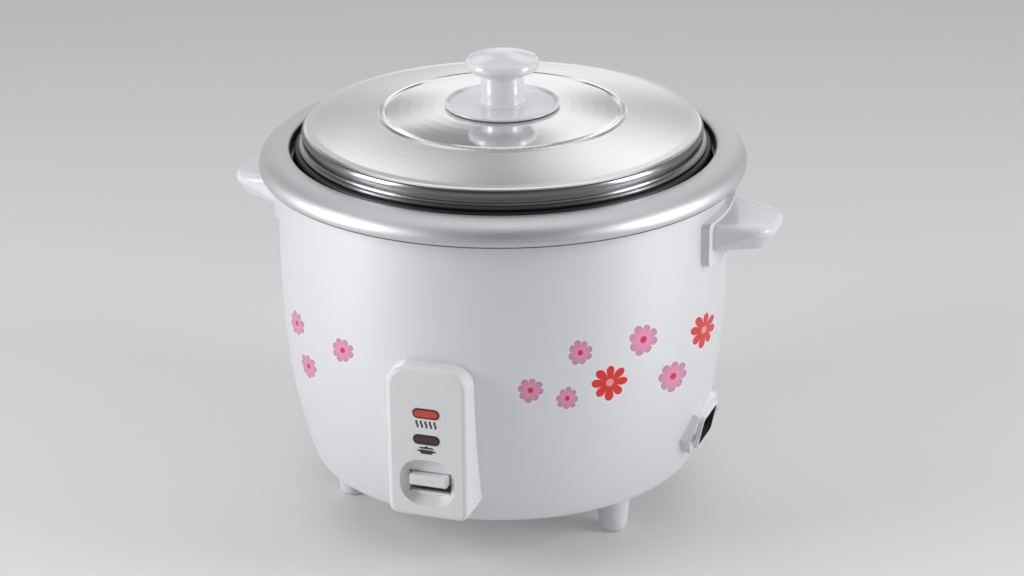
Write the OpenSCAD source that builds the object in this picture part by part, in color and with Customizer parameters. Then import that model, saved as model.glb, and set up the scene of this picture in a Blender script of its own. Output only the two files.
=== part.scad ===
// Drum rice cooker: lift-off lid, inner pan, enamelled drum and magnetic cook switch.
// Millimetres. The origin is on the floor under the drum's axis. The control panel faces -Y.

/* [Drum] */
// Height of the drum's lower edge above the plane that the parts are drawn from
foot_h = 20; // [18:0.5:22]
// How far the feet reach below that plane
foot_drop = 6.6; // [6:0.2:7]
// Height of the drum from its lower edge to the top ring's lower edge
drum_h = 168; // [164:1:172]
// Radius of the drum under the top ring
drum_top_r = 124.2; // [123.8:0.1:124.6]
// How much the drum's side would swell outwards on its way down
drum_swell = 4.6; // [3:0.1:5]
// How much the drum tucks in at its lower edge
drum_tuck = 19.2; // [17:0.2:20]
// Thickness of the drum's sheet
drum_t = 1; // [0.8:0.1:1.2]

/* [Top ring] */
// Outer radius of the top ring
rim_r = 135; // [134:0.5:136]
// Radius of the top ring's opening
rim_open_r = 117.6; // [117.4:0.1:118]
// Height of the ring's crest above its lower edge
rim_h = 12.8; // [12:0.2:14]

/* [Pan and lid] */
// Outer radius of the pan's wall
pan_r = 109.5; // [108:0.5:110]
// Thickness of the pan's sheet
pan_t = 1.2; // [1:0.1:1.5]
// Outer radius of the lid's rolled lip
lid_r = 112.7; // [112:0.1:113]
// Thickness of the lid's sheet
lid_t = 0.8; // [0.6:0.1:0.9]
// Radius of the ridge round the lid's dome
ridge_r = 66.8; // [64:0.2:69]
// Radius of the disc under the knob
knob_disc_r = 32; // [28:1:36]
// Radius of the knob's cap
knob_r = 20.3; // [18:0.1:22]
// Radius of the knob's stem
stem_r = 11.8; // [10:0.2:12]

/* [Panel and handles] */
// Width of the control panel's face
panel_w = 44; // [42:1:48]
// Height of the control panel
panel_h = 86; // [86:1:89]
// Distance of the panel's face from the drum's axis
panel_y = 134.6; // [133.6:0.2:134.8]
// Reach of each side handle from the drum's axis
handle_reach = 157.5; // [154:0.5:162]
// Half of the width of a handle's back plate
handle_half_w = 30; // [28:0.5:33]

/* [Switch] */
// Angle the cook key turns through when it is pressed
key_angle = 4.2; // [3.6:0.1:4.2]
// Distance from the lever's pin to the magnet rod
lever_arm = 70; // [70:1:70]
// Radius of the lever's pin
pin_r = 2; // [1.8:0.1:2]

/* [Mains inlet] */
// Direction of the inlet, turned from +X
inlet_turn = -3; // [-8:1:2]
// Height of the inlet's centre above the floor
inlet_z = 46; // [45:0.5:47]
// Tilt of the inlet, which follows the drum's side
inlet_tilt = 12; // [10:1:13]

/* [Hidden] */
$fn = 96;

eps = 0.05;                                   // gap between parts that only touch
enamel = [0.93, 0.93, 0.94];
white_plastic = [0.9, 0.9, 0.92];
steel = [0.72, 0.73, 0.75];
dark_metal = [0.2, 0.2, 0.22];
copper = [0.78, 0.5, 0.32];
brass = [0.8, 0.68, 0.4];
bakelite = [0.22, 0.17, 0.14];

rim_low_z = foot_h + drum_h;                  // lower edge of the top ring
seat_z = rim_low_z + 3;                       // top of the drum's turned-in edge
rim_crest_z = rim_low_z + rim_h;
plate_top_z = 80;                             // top of the heating plate, where the pan stands
well_z = 61;                                  // underside of the inner casing
pan_top_z = rim_crest_z - 0.6;                // top of the pan's flange
lip_z = pan_top_z + eps;                      // underside of the lid's lip
dome_z = lip_z + 20.75;                       // top of the lid at its centre
lever_x = 3;                                  // half of the lever's thickness
pin_y = -lever_arm;
pin_z = 49;
lever_slope = -0.0836;                        // rise per millimetre towards the rear
plunger_arm = 22;                             // from the pin to the snap switch's plunger
foot_ring_r = 89.5;
foot_angles = [-60, 60, 180];                 // measured from the front, towards +X
screw_ring_r = 102;
spacer_ring_r = 34;
element_ring_r = 52;
element_gap = 20;                             // half angle between the element's two ends
panel_z = 75.2;                               // height of the panel's middle
lamp_z = [93.2, 78.1];                        // warm lens, cook lens
key_z = 53.2;                                 // height of the cook key's middle
panel_screw_x = 15;
panel_screw_z = [112, 38];
handle_z = 162;                               // height of the handles' back plates
handle_screw_y = 12;
handle_screw_z = 166;

// Points along an ellipse's arc
function arc(c, rx, ry, a0, a1, n) =
    [for (i = [0:n]) let (a = a0 + (a1 - a0) * i / n) [c[0] + rx * cos(a), c[1] + ry * sin(a)]];

// Right-hand normal of a segment
function seg_normal(a, b) = let (d = (b - a) / norm(b - a)) [d[1], -d[0]];

// A path moved to its right by t, which is to its left where t is negative
function offset_path(p, t) = [for (i = [0:len(p) - 1])
    let (n1 = i > 0 ? seg_normal(p[i - 1], p[i]) : seg_normal(p[0], p[1]),
         n2 = i < len(p) - 1 ? seg_normal(p[i], p[i + 1]) : n1,
         m = (n1 + n2) / norm(n1 + n2))
    p[i] + m * t / (m * n1)];

function reversed(p) = [for (i = [len(p) - 1:-1:0]) p[i]];

// Radius of the drum's outside at a height
function drum_r(z) = let (s = max(0, (rim_low_z - z) / drum_h))
    drum_top_r + drum_swell * s - drum_tuck * pow(s, 3.1);

// The drum's side from its lower edge to the top ring
drum_side = [for (i = [0:20]) let (z = foot_h + 3 + (drum_h - 3) * i / 20) [drum_r(z), z]];

// A round piece of sheet, spun from a path, with its thickness on the path's right
module spun(path, t) {
    rotate_extrude()
        polygon(concat(path, reversed(offset_path(path, t))));
}

// The drum's outside as a solid, used to fit what sits against it
module drum_solid() {
    rotate_extrude()
        polygon(concat([[0, foot_h - 1], [drum_r(foot_h + 3) - 1, foot_h - 1]], drum_side,
            [[drum_top_r, rim_low_z + 5], [0, rim_low_z + 5]]));
}

// The drawing plane is above the floor: everything is raised so that the feet stand on it
module raised() {
    translate([0, 0, foot_drop])
        children();
}

module at_front_angle(a, r) {
    rotate([0, 0, a])
        translate([0, -r, 0])
            children();
}

// A screw with a round head, its head's underside at z = 0 and its shank towards +Z
module screw(shank_r, length, head_r, head_h) {
    difference() {
        union() {
            cylinder(r = shank_r, h = length);
            translate([0, 0, -head_h])
                cylinder(r = head_r, h = head_h);
        }
        for (a = [0, 90])
            rotate([0, 0, a])
                translate([-head_r * 0.55, -0.4, -head_h - 1])
                    cube([head_r * 1.1, 0.8, 1.8]);
    }
}

module slot_2d(length, width) {
    square([length - width, width], center = true);
    for (s = [-1, 1])
        translate([s * (length - width) / 2, 0])
            circle(d = width);
}

module rounded_2d(w, h, r) {
    square([w - 2 * r, h], center = true);
    square([w, h - 2 * r], center = true);
    for (x = [-1, 1], y = [-1, 1])
        translate([x * (w / 2 - r), y * (h / 2 - r)])
            circle(r = r);
}

// A flat outline in X and Z, extruded from y0 to y1
module along_y(y0, y1) {
    translate([0, y1, 0])
        rotate([90, 0, 0])
            linear_extrude(y1 - y0)
                children();
}

// A round wire swept along a route with eight sides
module wire(route, r) {
    n = len(route);
    function tangent(i) = let (d = route[min(i + 1, n - 1)] - route[max(i - 1, 0)]) d / norm(d);
    function side(i) = let (t = tangent(i), u = abs(t[2]) < 0.9 ? [0, 0, 1] : [1, 0, 0],
        c = cross(u, t)) c / norm(c);
    rings = [for (i = [0:n - 1]) let (t = tangent(i), u = side(i), v = cross(t, u))
        for (k = [0:7]) route[i] + r * (cos(45 * k) * u + sin(45 * k) * v)];
    walls = [for (i = [0:n - 2]) for (k = [0:7])
        let (a = 8 * i + k, b = 8 * i + (k + 1) % 8) each [[a, a + 8, b + 8], [a, b + 8, b]]];
    caps = [[0, 1, 2, 3, 4, 5, 6, 7], [for (k = [7:-1:0]) 8 * (n - 1) + k]];
    polyhedron(rings, concat(walls, caps));
}

// A helical spring with closed ends, from z = 0 to z = h
module coil_spring(r, wire_r, h, turns) {
    steps = turns * 12;
    lift = h - 2 * wire_r;
    function height(u) = wire_r + lift * (u < 0.12 ? u * 0.3 : u > 0.88 ? 1 - (1 - u) * 0.3
        : 0.036 + (u - 0.12) * 0.928 / 0.76);
    wire([for (i = [0:steps]) let (u = i / steps)
        [r * cos(30 * i), r * sin(30 * i), height(u)]], wire_r);
}

// ---------------------------------------------------------------- casing

shell_path = concat([[98, foot_h], [drum_r(foot_h + 3) - 2.6, foot_h],
    [drum_r(foot_h + 3) - 0.9, foot_h + 1]], drum_side,
    [[drum_top_r, seat_z - 1], [drum_top_r - 0.8, seat_z], [119.5, seat_z]]);

module outer_shell() {
    color(enamel)
        difference() {
            spun(shell_path, -drum_t);
            // cook lever and lamp wires
            translate([-5, -130, 45])
                cube([10, 20, 16]);
            translate([14, -110, 66])
                rotate([90, 0, 0])
                    cylinder(r = 4, h = 20);
            // control panel screws
            for (x = [-1, 1], z = panel_screw_z)
                translate([x * panel_screw_x, -100, z])
                    rotate([90, 0, 0])
                        cylinder(r = 1.7, h = 40);
            // handle screws
            for (x = [-1, 1], y = [-1, 1])
                translate([x * 110, y * handle_screw_y, handle_screw_z])
                    rotate([0, x * 90, 0])
                        cylinder(r = 2.2, h = 30);
            // mains inlet and its screws
            at_inlet() {
                translate([-30, -14, -10])
                    cube([40, 28, 20]);
                for (y = [-1, 1])
                    translate([-30, y * 20, 0])
                        rotate([0, 90, 0])
                            cylinder(r = 1.6, h = 40);
            }
            // base screws
            for (a = [0, 120, 240])
                at_front_angle(a, screw_ring_r)
                    translate([0, 0, foot_h - 1])
                        cylinder(r = 1.8, h = 4);
        }
}

rim_path = concat([[rim_open_r, seat_z + 1], [rim_open_r, rim_crest_z - 2.2]],
    arc([rim_open_r + 2.1, rim_crest_z - 2.2], 2.1, 2.1, 160, 90, 5),
    arc([rim_open_r + 2.1, rim_low_z + 2.9], rim_r - rim_open_r - 2.1, rim_h - 2.9, 82, 0, 12),
    [[rim_r - 0.2, rim_low_z + 1.3], [rim_r - 1, rim_low_z + 0.3], [rim_r - 2, rim_low_z],
    [drum_top_r + 0.9, rim_low_z]]);

module top_rim() {
    color(steel)
        spun(rim_path, 1);
}

module inner_casing() {
    color(steel)
        difference() {
            spun(concat([[20, well_z]], arc([rim_open_r - 16.2, well_z + 16], 16, 16, -90, 0, 8),
                [[rim_open_r - 0.2, seat_z], [drum_top_r - 0.9, seat_z]]), -1);
            for (a = [30, 150, 270])
                rotate([0, 0, a])
                    translate([spacer_ring_r, 0, well_z - 1])
                        cylinder(r = 2.3, h = 4);
            for (s = [-1, 1])
                rotate([0, 0, 90 + s * element_gap])
                    translate([element_ring_r, 0, well_z - 1])
                        cylinder(r = 5.5, h = 4);
            for (s = [-1, 1])
                translate([s * 22, 0, well_z - 1])
                    cylinder(r = 1.25, h = 4);
            for (s = [-1, 1])
                translate([s * 9.6, -80, well_z - 1])
                    cylinder(r = 1.55, h = 4);
            translate([-70, 20, well_z - 1])
                cylinder(r = 1.75, h = 4);
        }
}

module base_plate() {
    color(steel)
        difference() {
            spun([[0, foot_h], [95.6, foot_h], [97.4, foot_h + drum_t], [104.6, foot_h + drum_t]],
                -1.2);
            for (a = [0:30:330])
                rotate([0, 0, a + 15])
                    translate([62, 0, foot_h - 1])
                        linear_extrude(4)
                            slot_2d(20, 3.4);
            for (a = foot_angles)
                at_front_angle(a, foot_ring_r)
                    translate([0, 0, foot_h - 1])
                        cylinder(r = 1.75, h = 4);
            for (a = [0, 120, 240])
                at_front_angle(a, screw_ring_r)
                    translate([0, 0, foot_h - 1])
                        cylinder(r = 1.5, h = 5);
        }
}

module base_screws() {
    color(steel)
        for (a = [0, 120, 240])
            at_front_angle(a, screw_ring_r)
                translate([0, 0, foot_h])
                    screw(1.5, 6, 3, 1.6);
}

module foot(angle) {
    color(white_plastic)
        at_front_angle(angle, foot_ring_r)
            difference() {
                rotate_extrude()
                    polygon(concat([[0, -foot_drop], [4.6, -foot_drop]],
                        arc([4.6, 4 - foot_drop], 3.2, 4, -70, 0, 6),
                        [[10, foot_h - 4], [10.3, foot_h], [0, foot_h]]));
                translate([0, 0, -foot_drop - 1])
                    cylinder(r = 3, h = foot_h + foot_drop - 7);
                cylinder(r = 1.8, h = foot_h + 1);
            }
}

module foot_left() { foot(foot_angles[0]); }
module foot_right() { foot(foot_angles[1]); }
module foot_rear() { foot(foot_angles[2]); }

module foot_screws() {
    color(steel)
        for (a = foot_angles)
            at_front_angle(a, foot_ring_r)
                translate([0, 0, foot_h - 8])
                    screw(1.75, 14, 2.9, 2);
}

// ---------------------------------------------------------------- handles

module right_handle_shape() {
    difference() {
        union() {
            intersection() {
                cylinder(r = 129, h = 200);
                translate([100, 0, handle_z])
                    rotate([90, 0, 90])
                        linear_extrude(40)
                            rounded_2d(2 * handle_half_w, 25, 3);
            }
            // grip, wide and deep at the plate, rounded at its end
            hull() {
                for (y = [-1, 1], z = [160.5, 169.5])
                    translate([127, y * 22.5, z])
                        sphere(r = 3.5, $fn = 24);
                for (y = [-1, 1])
                    translate([handle_reach - 15.5, y * 6, 167])
                        rotate_extrude($fn = 40)
                            translate([12.5, 0])
                                circle(r = 3, $fn = 16);
                for (y = [-1, 1])
                    translate([handle_reach - 16, y * 4.5, 160])
                        rotate_extrude($fn = 40)
                            translate([9.5, 0])
                                circle(r = 3, $fn = 16);
            }
        }
        drum_solid();
        // finger pocket
        translate([handle_reach - 12, 0, 150])
            linear_extrude(17.5)
                rotate(90)
                    rounded_2d(25, 12, 5);
        for (y = [-1, 1])
            translate([110, y * handle_screw_y, handle_screw_z])
                rotate([0, 90, 0])
                    cylinder(r = 2.05, h = 27.5);
    }
}

module right_handle() {
    color(white_plastic)
        right_handle_shape();
}

module left_handle() {
    color(white_plastic)
        mirror([1, 0, 0])
            right_handle_shape();
}

module handle_screws() {
    color(steel)
        for (x = [-1, 1], y = [-1, 1])
            translate([x * 122.7, y * handle_screw_y, handle_screw_z])
                rotate([0, x * 90, 0])
                    screw(2, 14, 3.4, 2.2);
}

// ---------------------------------------------------------------- control panel

// Slices of the panel's front edge: depth behind the face, and how far in from the side
panel_edge = [[0, 2.8], [0.7, 1.2], [1.9, 0.3], [3.6, 0]];
panel_top_corner = 11;
panel_low_corner = 5.5;

// Four corners of the panel's outline, for use in a hull
module panel_corners(w, h, inset) {
    for (x = [-1, 1], z = [-1, 1])
        let (r = (z > 0 ? panel_top_corner : panel_low_corner) - inset)
            translate([x * (w / 2 - inset - r), z * (h / 2 - inset - r)])
                circle(r = r, $fn = 32);
}

module panel_block(inset, back) {
    hull() {
        for (e = panel_edge)
            along_y(-panel_y + e[0], -panel_y + e[0] + 0.1)
                translate([0, panel_z])
                    panel_corners(panel_w + 1, panel_h + 1, e[1] + inset);
        along_y(back - 1, back)
            translate([0, panel_z])
                panel_corners(panel_w + 3, panel_h + 2, inset);
    }
}

// Slices of the key's recess: depth, and how far in from its mouth
recess_bowl = [[-0.1, 0], [0.6, 0.4], [2, 1.1], [3.4, 1.9], [4.6, 2.7], [5.5, 3.6]];
recess_z = 52.6;

module key_recess(grow) {
    hull()
        for (e = recess_bowl)
            along_y(-panel_y + e[0], -panel_y + e[0] + 0.05 + grow)
                translate([0, recess_z])
                    rounded_2d(31 + 2 * (grow - e[1]), 27 + 2 * (grow - e[1]), 12 + grow - e[1],
                        $fn = 32);
}

module control_panel() {
    wall = 2;
    recess_y = -panel_y + 5.5;
    color(white_plastic)
        difference() {
            union() {
                difference() {
                    panel_block(0, -100);
                    difference() {
                        translate([0, wall, 0])
                            panel_block(wall, -90);
                        key_recess(wall);
                    }
                }
                for (x = [-1, 1], z = panel_screw_z)
                    translate([x * panel_screw_x, -105, z])
                        rotate([90, 0, 0])
                            cylinder(r = 3.6, h = panel_y - 106.5);
            }
            drum_solid();
            key_recess(0);
            along_y(-panel_y, recess_y + 8)
                translate([0, 50.9])
                    square([23.4, 11.8], center = true);
            for (z = lamp_z)
                along_y(-panel_y - 1, -panel_y + 6)
                    translate([0, z])
                        slot_2d(15, 5.8);
            for (x = [-1, 1], z = panel_screw_z)
                translate([x * panel_screw_x, -100, z])
                    rotate([90, 0, 0])
                        cylinder(r = 1.55, h = panel_y - 103.5);
        }
}

module panel_screws() {
    color(steel)
        for (x = [-1, 1], i = [0, 1])
            translate([x * panel_screw_x, i == 0 ? -122.1 : -111.4, panel_screw_z[i]])
                rotate([90, 0, 0])
                    screw(1.5, i == 0 ? 8.5 : 18.5, 2.8, 1.8);
}

module lens(z, tint) {
    color(tint)
        difference() {
            union() {
                along_y(-panel_y - 0.3, -panel_y + 3.2)
                    translate([0, z])
                        slot_2d(14.8, 5.6);
                along_y(-panel_y + 2.1, -panel_y + 3.2)
                    translate([0, z])
                        slot_2d(17.2, 8);
                for (x = [-1, 1])
                    translate([x * 7 - 0.8, -panel_y + 3, z - 3])
                        cube([1.6, 5, 6]);
            }
            translate([-10, -panel_y + 6, z])
                rotate([0, 90, 0])
                    cylinder(r = 2.05, h = 20);
            along_y(-panel_y + 2.9, -panel_y + 9)
                translate([0, z])
                    square([12.4, 5], center = true);
        }
}

module warm_lens() { lens(lamp_z[0], [0.86, 0.36, 0.18]); }
module cook_lens() { lens(lamp_z[1], [0.3, 0.16, 0.19]); }

module lamp(z) {
    color([0.9, 0.85, 0.78])
        translate([-8.5, -panel_y + 6, z])
            rotate([0, 90, 0])
                union() {
                    cylinder(r = 2, h = 16);
                    translate([0, 0, 16])
                        cylinder(r = 0.4, h = 2.2);
                }
}

module warm_lamp() { lamp(lamp_z[0]); }
module cook_lamp() { lamp(lamp_z[1]); }

// ---------------------------------------------------------------- pan and lid

module inner_pan() {
    rim = pan_top_z - pan_t;
    color(dark_metal)
        spun(concat([[0, plate_top_z + eps]],
            arc([pan_r - 14, plate_top_z + eps + 14], 14, 14, -90, 0, 10),
            [[pan_r, rim - 1.4], [pan_r + 0.5, rim - 0.4], [pan_r + 1.4, rim], [pan_r + 3.4, rim],
            [pan_r + 4.2, rim - 0.3], [pan_r + 4.6, rim - 1.1], [pan_r + 4.6, rim - 2]]), -pan_t);
}

lid_path = concat([[2.6, dome_z], [12, dome_z]],
    [for (i = [1:8]) let (u = i / 8) [12 + (ridge_r - 15.2) * u, dome_z - 2.9 * pow(u, 2)]],
    [[ridge_r - 1.9, dome_z - 3.35], [ridge_r - 0.9, dome_z - 2.75], [ridge_r, dome_z - 2.5],
    [ridge_r + 1, dome_z - 2.8], [ridge_r + 2.2, dome_z - 3.8]],
    [for (i = [1:6]) let (u = i / 6)
        [ridge_r + 2.2 + (lid_r - 8.4 - ridge_r - 2.2) * u, dome_z - 3.8 - 4.4 * u - 0.9 * u * u]],
    arc([lid_r - 6.8, dome_z - 13.3], 5, 4.4, 62, 0, 6),
    [[lid_r - 2, lip_z + 4.4], [lid_r - 2.4, lip_z + 3.6], [lid_r - 2.1, lip_z + 2.9],
    [lid_r - 0.6, lip_z + 2.2], [lid_r, lip_z + 1.4], [lid_r - 0.2, lip_z + 0.4],
    [lid_r - 0.9, lip_z], [lid_r - 2.6, lip_z]]);

module lid() {
    color(steel)
        spun(lid_path, lid_t);
}

module knob_disc() {
    color(white_plastic)
        rotate_extrude()
            polygon([[2.6, dome_z], [11.5, dome_z], [knob_disc_r - 0.7, dome_z],
                [knob_disc_r, dome_z + 0.7], [knob_disc_r - 0.1, dome_z + 1.5],
                [knob_disc_r - 0.8, dome_z + 2.1], [knob_disc_r - 1.7, dome_z + 2.1],
                [knob_disc_r - 2.7, dome_z + 1.6], [knob_disc_r - 3.4, dome_z + 1.2],
                [2.6, dome_z + 1.2]]);
}

module knob() {
    foot_z = dome_z + 1.2;
    cap_z = dome_z + 19.9;
    color(white_plastic)
        difference() {
            rotate_extrude()
                polygon(concat([[0, foot_z], [stem_r + 1.6, foot_z], [stem_r + 1.6, foot_z + 0.8]],
                    arc([stem_r + 1.6, foot_z + 2.4], 1.4, 1.6, 270, 180, 4),
                    [[stem_r, cap_z - 3], [stem_r + 0.6, cap_z - 1.2], [stem_r + 2.4, cap_z - 0.2],
                    [knob_r - 4, cap_z]],
                    arc([knob_r - 3.6, cap_z + 3.8], 3.6, 3.8, -80, 60, 8),
                    [for (i = [1:6]) let (u = i / 6)
                        [(knob_r - 1.8) * (1 - u), cap_z + 7.1 + 3.4 * (1 - pow(1 - u, 2))]]));
            translate([0, 0, foot_z - 1])
                cylinder(r = 2.05, h = 15);
        }
}

module knob_screw() {
    color(steel)
        translate([0, 0, dome_z - lid_t])
            screw(2, 15, 5.5, 2.4);
}

// ---------------------------------------------------------------- heating

module element_run(r) {
    rotate([0, 0, 90 + element_gap])
        rotate_extrude(angle = 360 - 2 * element_gap)
            translate([element_ring_r, 0])
                circle(r = r);
}

module heating_plate() {
    color([0.75, 0.76, 0.78])
        difference() {
            rotate_extrude()
                polygon([[17.8, 66], [24, 66], [26, 67.4], [64, 67.4], [70, 71], [82.6, 71],
                    [84, 72.4], [84, 78.4], [82.4, plate_top_z], [17.8, plate_top_z]]);
            translate([0, 0, 73.4])
                element_run(3.55);
            for (s = [-1, 1])
                rotate([0, 0, 90 + s * element_gap])
                    translate([element_ring_r, 0, 60])
                        cylinder(r = 4.05, h = 17.5);
            for (a = [30, 150, 270])
                rotate([0, 0, a])
                    translate([spacer_ring_r, 0, 60])
                        cylinder(r = 2.05, h = 15);
        }
}

module heating_element() {
    color(dark_metal) {
        translate([0, 0, 73.4])
            element_run(3.5);
        for (s = [-1, 1])
            rotate([0, 0, 90 + s * element_gap])
                translate([element_ring_r, 0, 0]) {
                    translate([0, 0, 52])
                        cylinder(r = 4, h = 25.4);
                    translate([0, 0, 44])
                        cylinder(r = 1.5, h = 9);
                }
    }
}

module plate_spacers() {
    color(steel)
        for (a = [30, 150, 270])
            rotate([0, 0, a])
                translate([spacer_ring_r, 0, well_z + 1])
                    difference() {
                        cylinder(r = 5, h = 67.4 - well_z - 1);
                        translate([0, 0, -1])
                            cylinder(r = 2.2, h = 9);
                    }
}

module plate_screws() {
    color(steel)
        for (a = [30, 150, 270])
            rotate([0, 0, a])
                translate([spacer_ring_r, 0, well_z])
                    screw(2, 13, 3.6, 2.4);
}

module warm_thermostat() {
    color(bakelite)
        translate([-70, 20, 0])
            union() {
                translate([0, 0, well_z - 7])
                    cylinder(r = 8, h = 7);
                translate([0, 0, well_z - 1])
                    cylinder(r = 1.7, h = 4);
                for (s = [-1, 1])
                    translate([s * 4 - 0.4, -2.4, well_z - 14])
                        cube([0.8, 4.8, 8]);
            }
}

module thermal_fuse() {
    color([0.85, 0.82, 0.75])
        translate([-13, 74, 55])
            rotate([0, 90, 0])
                union() {
                    cylinder(r = 2, h = 26);
                    translate([0, 0, -5])
                        cylinder(r = 0.6, h = 36);
                }
}

module fuse_clip() {
    color(steel)
        difference() {
            union() {
                translate([-4, 74, 55])
                    rotate([0, 90, 0])
                        cylinder(r = 3, h = 8);
                translate([-4, 73.4, 57])
                    cube([8, 1.2, 3.2]);
                translate([-4, 70, well_z - 1])
                    cube([8, 9, 1]);
            }
            translate([-5, 74, 55])
                rotate([0, 90, 0])
                    cylinder(r = 2.03, h = 10);
        }
}

// ---------------------------------------------------------------- magnetic sensor

module sensor_cap() {
    color([0.8, 0.8, 0.82])
        rotate_extrude()
            polygon([[0, 79], [15.4, 79], [15.4, 68.4], [16.4, 68.4], [16.4, 79.2],
                [15.6, plate_top_z], [0, plate_top_z]]);
}

module sensor_magnet() {
    color(dark_metal)
        translate([0, 0, 77.2])
            cylinder(r = 10, h = 1.8);
}

module sensor_spring() {
    color(steel)
        translate([0, 0, well_z + 0.1])
            coil_spring(14.3, 0.5, 79 - well_z - 0.2, 5);
}

module sensor_holder() {
    color(steel)
        difference() {
            rotate_extrude()
                polygon([[2.9, 57.5], [13.3, 57.5], [13.3, 60], [25.5, 60], [25.5, well_z],
                    [13.3, well_z], [13.3, 72.6], [12.3, 72.6], [12.3, 58.5], [2.9, 58.5]]);
            for (s = [-1, 1])
                translate([s * 22, 0, 59])
                    cylinder(r = 1.3, h = 3);
        }
}

module holder_screws() {
    color(steel)
        for (s = [-1, 1])
            translate([s * 22, 0, 60])
                screw(1.2, 4, 2.3, 1.4);
}

module magnet_rod() {
    eye_z = pin_z + lever_slope * lever_arm;
    color(dark_metal)
        difference() {
            union() {
                translate([0, 0, 64])
                    cylinder(r = 9, h = 5.8);
                translate([0, 0, 46])
                    cylinder(r = 2.4, h = 19);
                translate([-4.6, -1.6, eye_z - 6])
                    cube([9.2, 3.2, 12]);
            }
            translate([-3.5, -5, eye_z - 2.9])
                cube([7, 10, 5.8]);
        }
}

// ---------------------------------------------------------------- cook switch

module switch_bracket() {
    color(steel)
        difference() {
            union() {
                translate([-13, -104, well_z - 1.2])
                    cube([26, 65.6, 1.2]);
                for (s = [-1, 1])
                    translate([s * 5.2 - 0.6, -104, 30])
                        cube([1.2, 44, well_z - 30]);
            }
            translate([-20, pin_y, pin_z])
                rotate([0, 90, 0])
                    cylinder(r = pin_r + 0.02, h = 40);
            for (s = [-1, 1])
                translate([s * 9.6, -80, 50])
                    cylinder(r = 1.6, h = 20);
            for (y = [-98, -86])
                translate([-20, y, 36])
                    rotate([0, 90, 0])
                        cylinder(r = 1.25, h = 40);
        }
}

module bracket_screws() {
    color(steel)
        for (s = [-1, 1])
            translate([s * 9.6, -80, well_z - 1.2])
                screw(1.5, 5, 2.7, 1.8);
}

module lever_pin() {
    color(steel)
        translate([0, pin_y, pin_z])
            rotate([0, 90, 0])
                union() {
                    translate([0, 0, -7])
                        cylinder(r = pin_r, h = 14);
                    translate([0, 0, -7.6])
                        cylinder(r = 3, h = 1.4);
                }
}

module switch_lever() {
    front = -131;
    rear = 3;
    half_h = 2.5;
    function bar_z(y) = pin_z + lever_slope * (y - pin_y);
    color(bakelite)
        difference() {
            translate([-lever_x, 0, 0])
                rotate([90, 0, 90])
                    linear_extrude(2 * lever_x)
                        union() {
                            polygon([[front, bar_z(front) - half_h], [rear, bar_z(rear) - half_h],
                                [rear, bar_z(rear) + half_h], [-116, bar_z(-116) + half_h],
                                [-121, 54.9], [front, 54.9]]);
                            translate([pin_y, pin_z])
                                circle(r = 5);
                        }
            translate([-10, pin_y, pin_z])
                rotate([0, 90, 0])
                    cylinder(r = pin_r + 0.06, h = 20);
        }
}

module cook_key() {
    front_y = -133.6;
    color(white_plastic)
        difference() {
            intersection() {
                along_y(front_y, -125.5)
                    translate([0, key_z])
                        rounded_2d(21.6, 6, 1.2);
                // bevelled ends
                translate([0, 0, key_z - 10])
                    linear_extrude(20)
                        polygon([[-9.6, front_y], [9.6, front_y], [10.9, front_y + 1.5], [10.9, -120],
                            [-10.9, -120], [-10.9, front_y + 1.5]]);
                // rounded front
                translate([-20, front_y + 14, key_z])
                    rotate([0, 90, 0])
                        cylinder(r = 14, h = 40);
            }
            translate([-3.05, -131.05, key_z - 2.15])
                cube([6.1, 8, 3.95]);
        }
}

module return_spring() {
    base_z = pin_z + lever_slope * 25 + 2.75;
    color(steel)
        translate([0, pin_y + 25, base_z])
            coil_spring(2.6, 0.4, well_z - 1.3 - base_z, 5);
}

module contact_block() {
    color(bakelite)
        difference() {
            union() {
                translate([-4.5, -104, 32])
                    cube([9, 24, 12.6]);
                for (y = [-100, -84])
                    translate([-2.5, y - 0.4, 25])
                        cube([5, 0.8, 8]);
            }
            translate([0, pin_y - plunger_arm, 37])
                cylinder(r = 1.56, h = 10);
            for (y = [-98, -86])
                translate([-20, y, 36])
                    rotate([0, 90, 0])
                        cylinder(r = 1.25, h = 40);
        }
}

module contact_screws() {
    color(steel)
        for (y = [-98, -86])
            translate([-5.9, y, 36])
                rotate([0, 90, 0])
                    screw(1.2, 13, 2.2, 1.3);
}

module contact_plunger() {
    color([0.75, 0.2, 0.15])
        translate([0, pin_y - plunger_arm, 40.5])
            cylinder(r = 1.5, h = 7.4);
}

// ---------------------------------------------------------------- mains inlet

// Children are placed with +X out of the drum and their face at the inlet's flange
module at_inlet() {
    rotate([0, 0, inlet_turn])
        translate([drum_r(inlet_z) + 2.5, 0, inlet_z])
            rotate([0, inlet_tilt, 0])
                children();
}

module out_of_inlet(x0, x1) {
    translate([x0, 0, 0])
        rotate([90, 0, 90])
            linear_extrude(x1 - x0)
                children();
}

module inlet_socket() {
    color(white_plastic)
        difference() {
            union() {
                difference() {
                    at_inlet()
                        out_of_inlet(-14, 0)
                            polygon([[-27, 0], [-17, -12], [17, -12], [27, 0], [17, 12], [-17, 12]]);
                    drum_solid();
                }
                at_inlet() {
                    out_of_inlet(-18, -1)
                        rounded_2d(27.4, 19, 2);
                    out_of_inlet(-1, 2.4)
                        rounded_2d(29, 20.6, 4);
                }
            }
            at_inlet() {
                out_of_inlet(-16, 5)
                    rounded_2d(24.4, 16.4, 2.5);
                for (y = [-1, 1])
                    translate([-20, y * 20, 0])
                        rotate([0, 90, 0])
                            cylinder(r = 1.6, h = 30);
                for (p = inlet_pin_places)
                    translate([-30, p[0] - 2.1, p[1] - 1.1])
                        cube([20, 4.2, 2.2]);
            }
        }
}

inlet_pin_places = [[-7, -2.4], [7, -2.4], [0, 3.2]];

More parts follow.
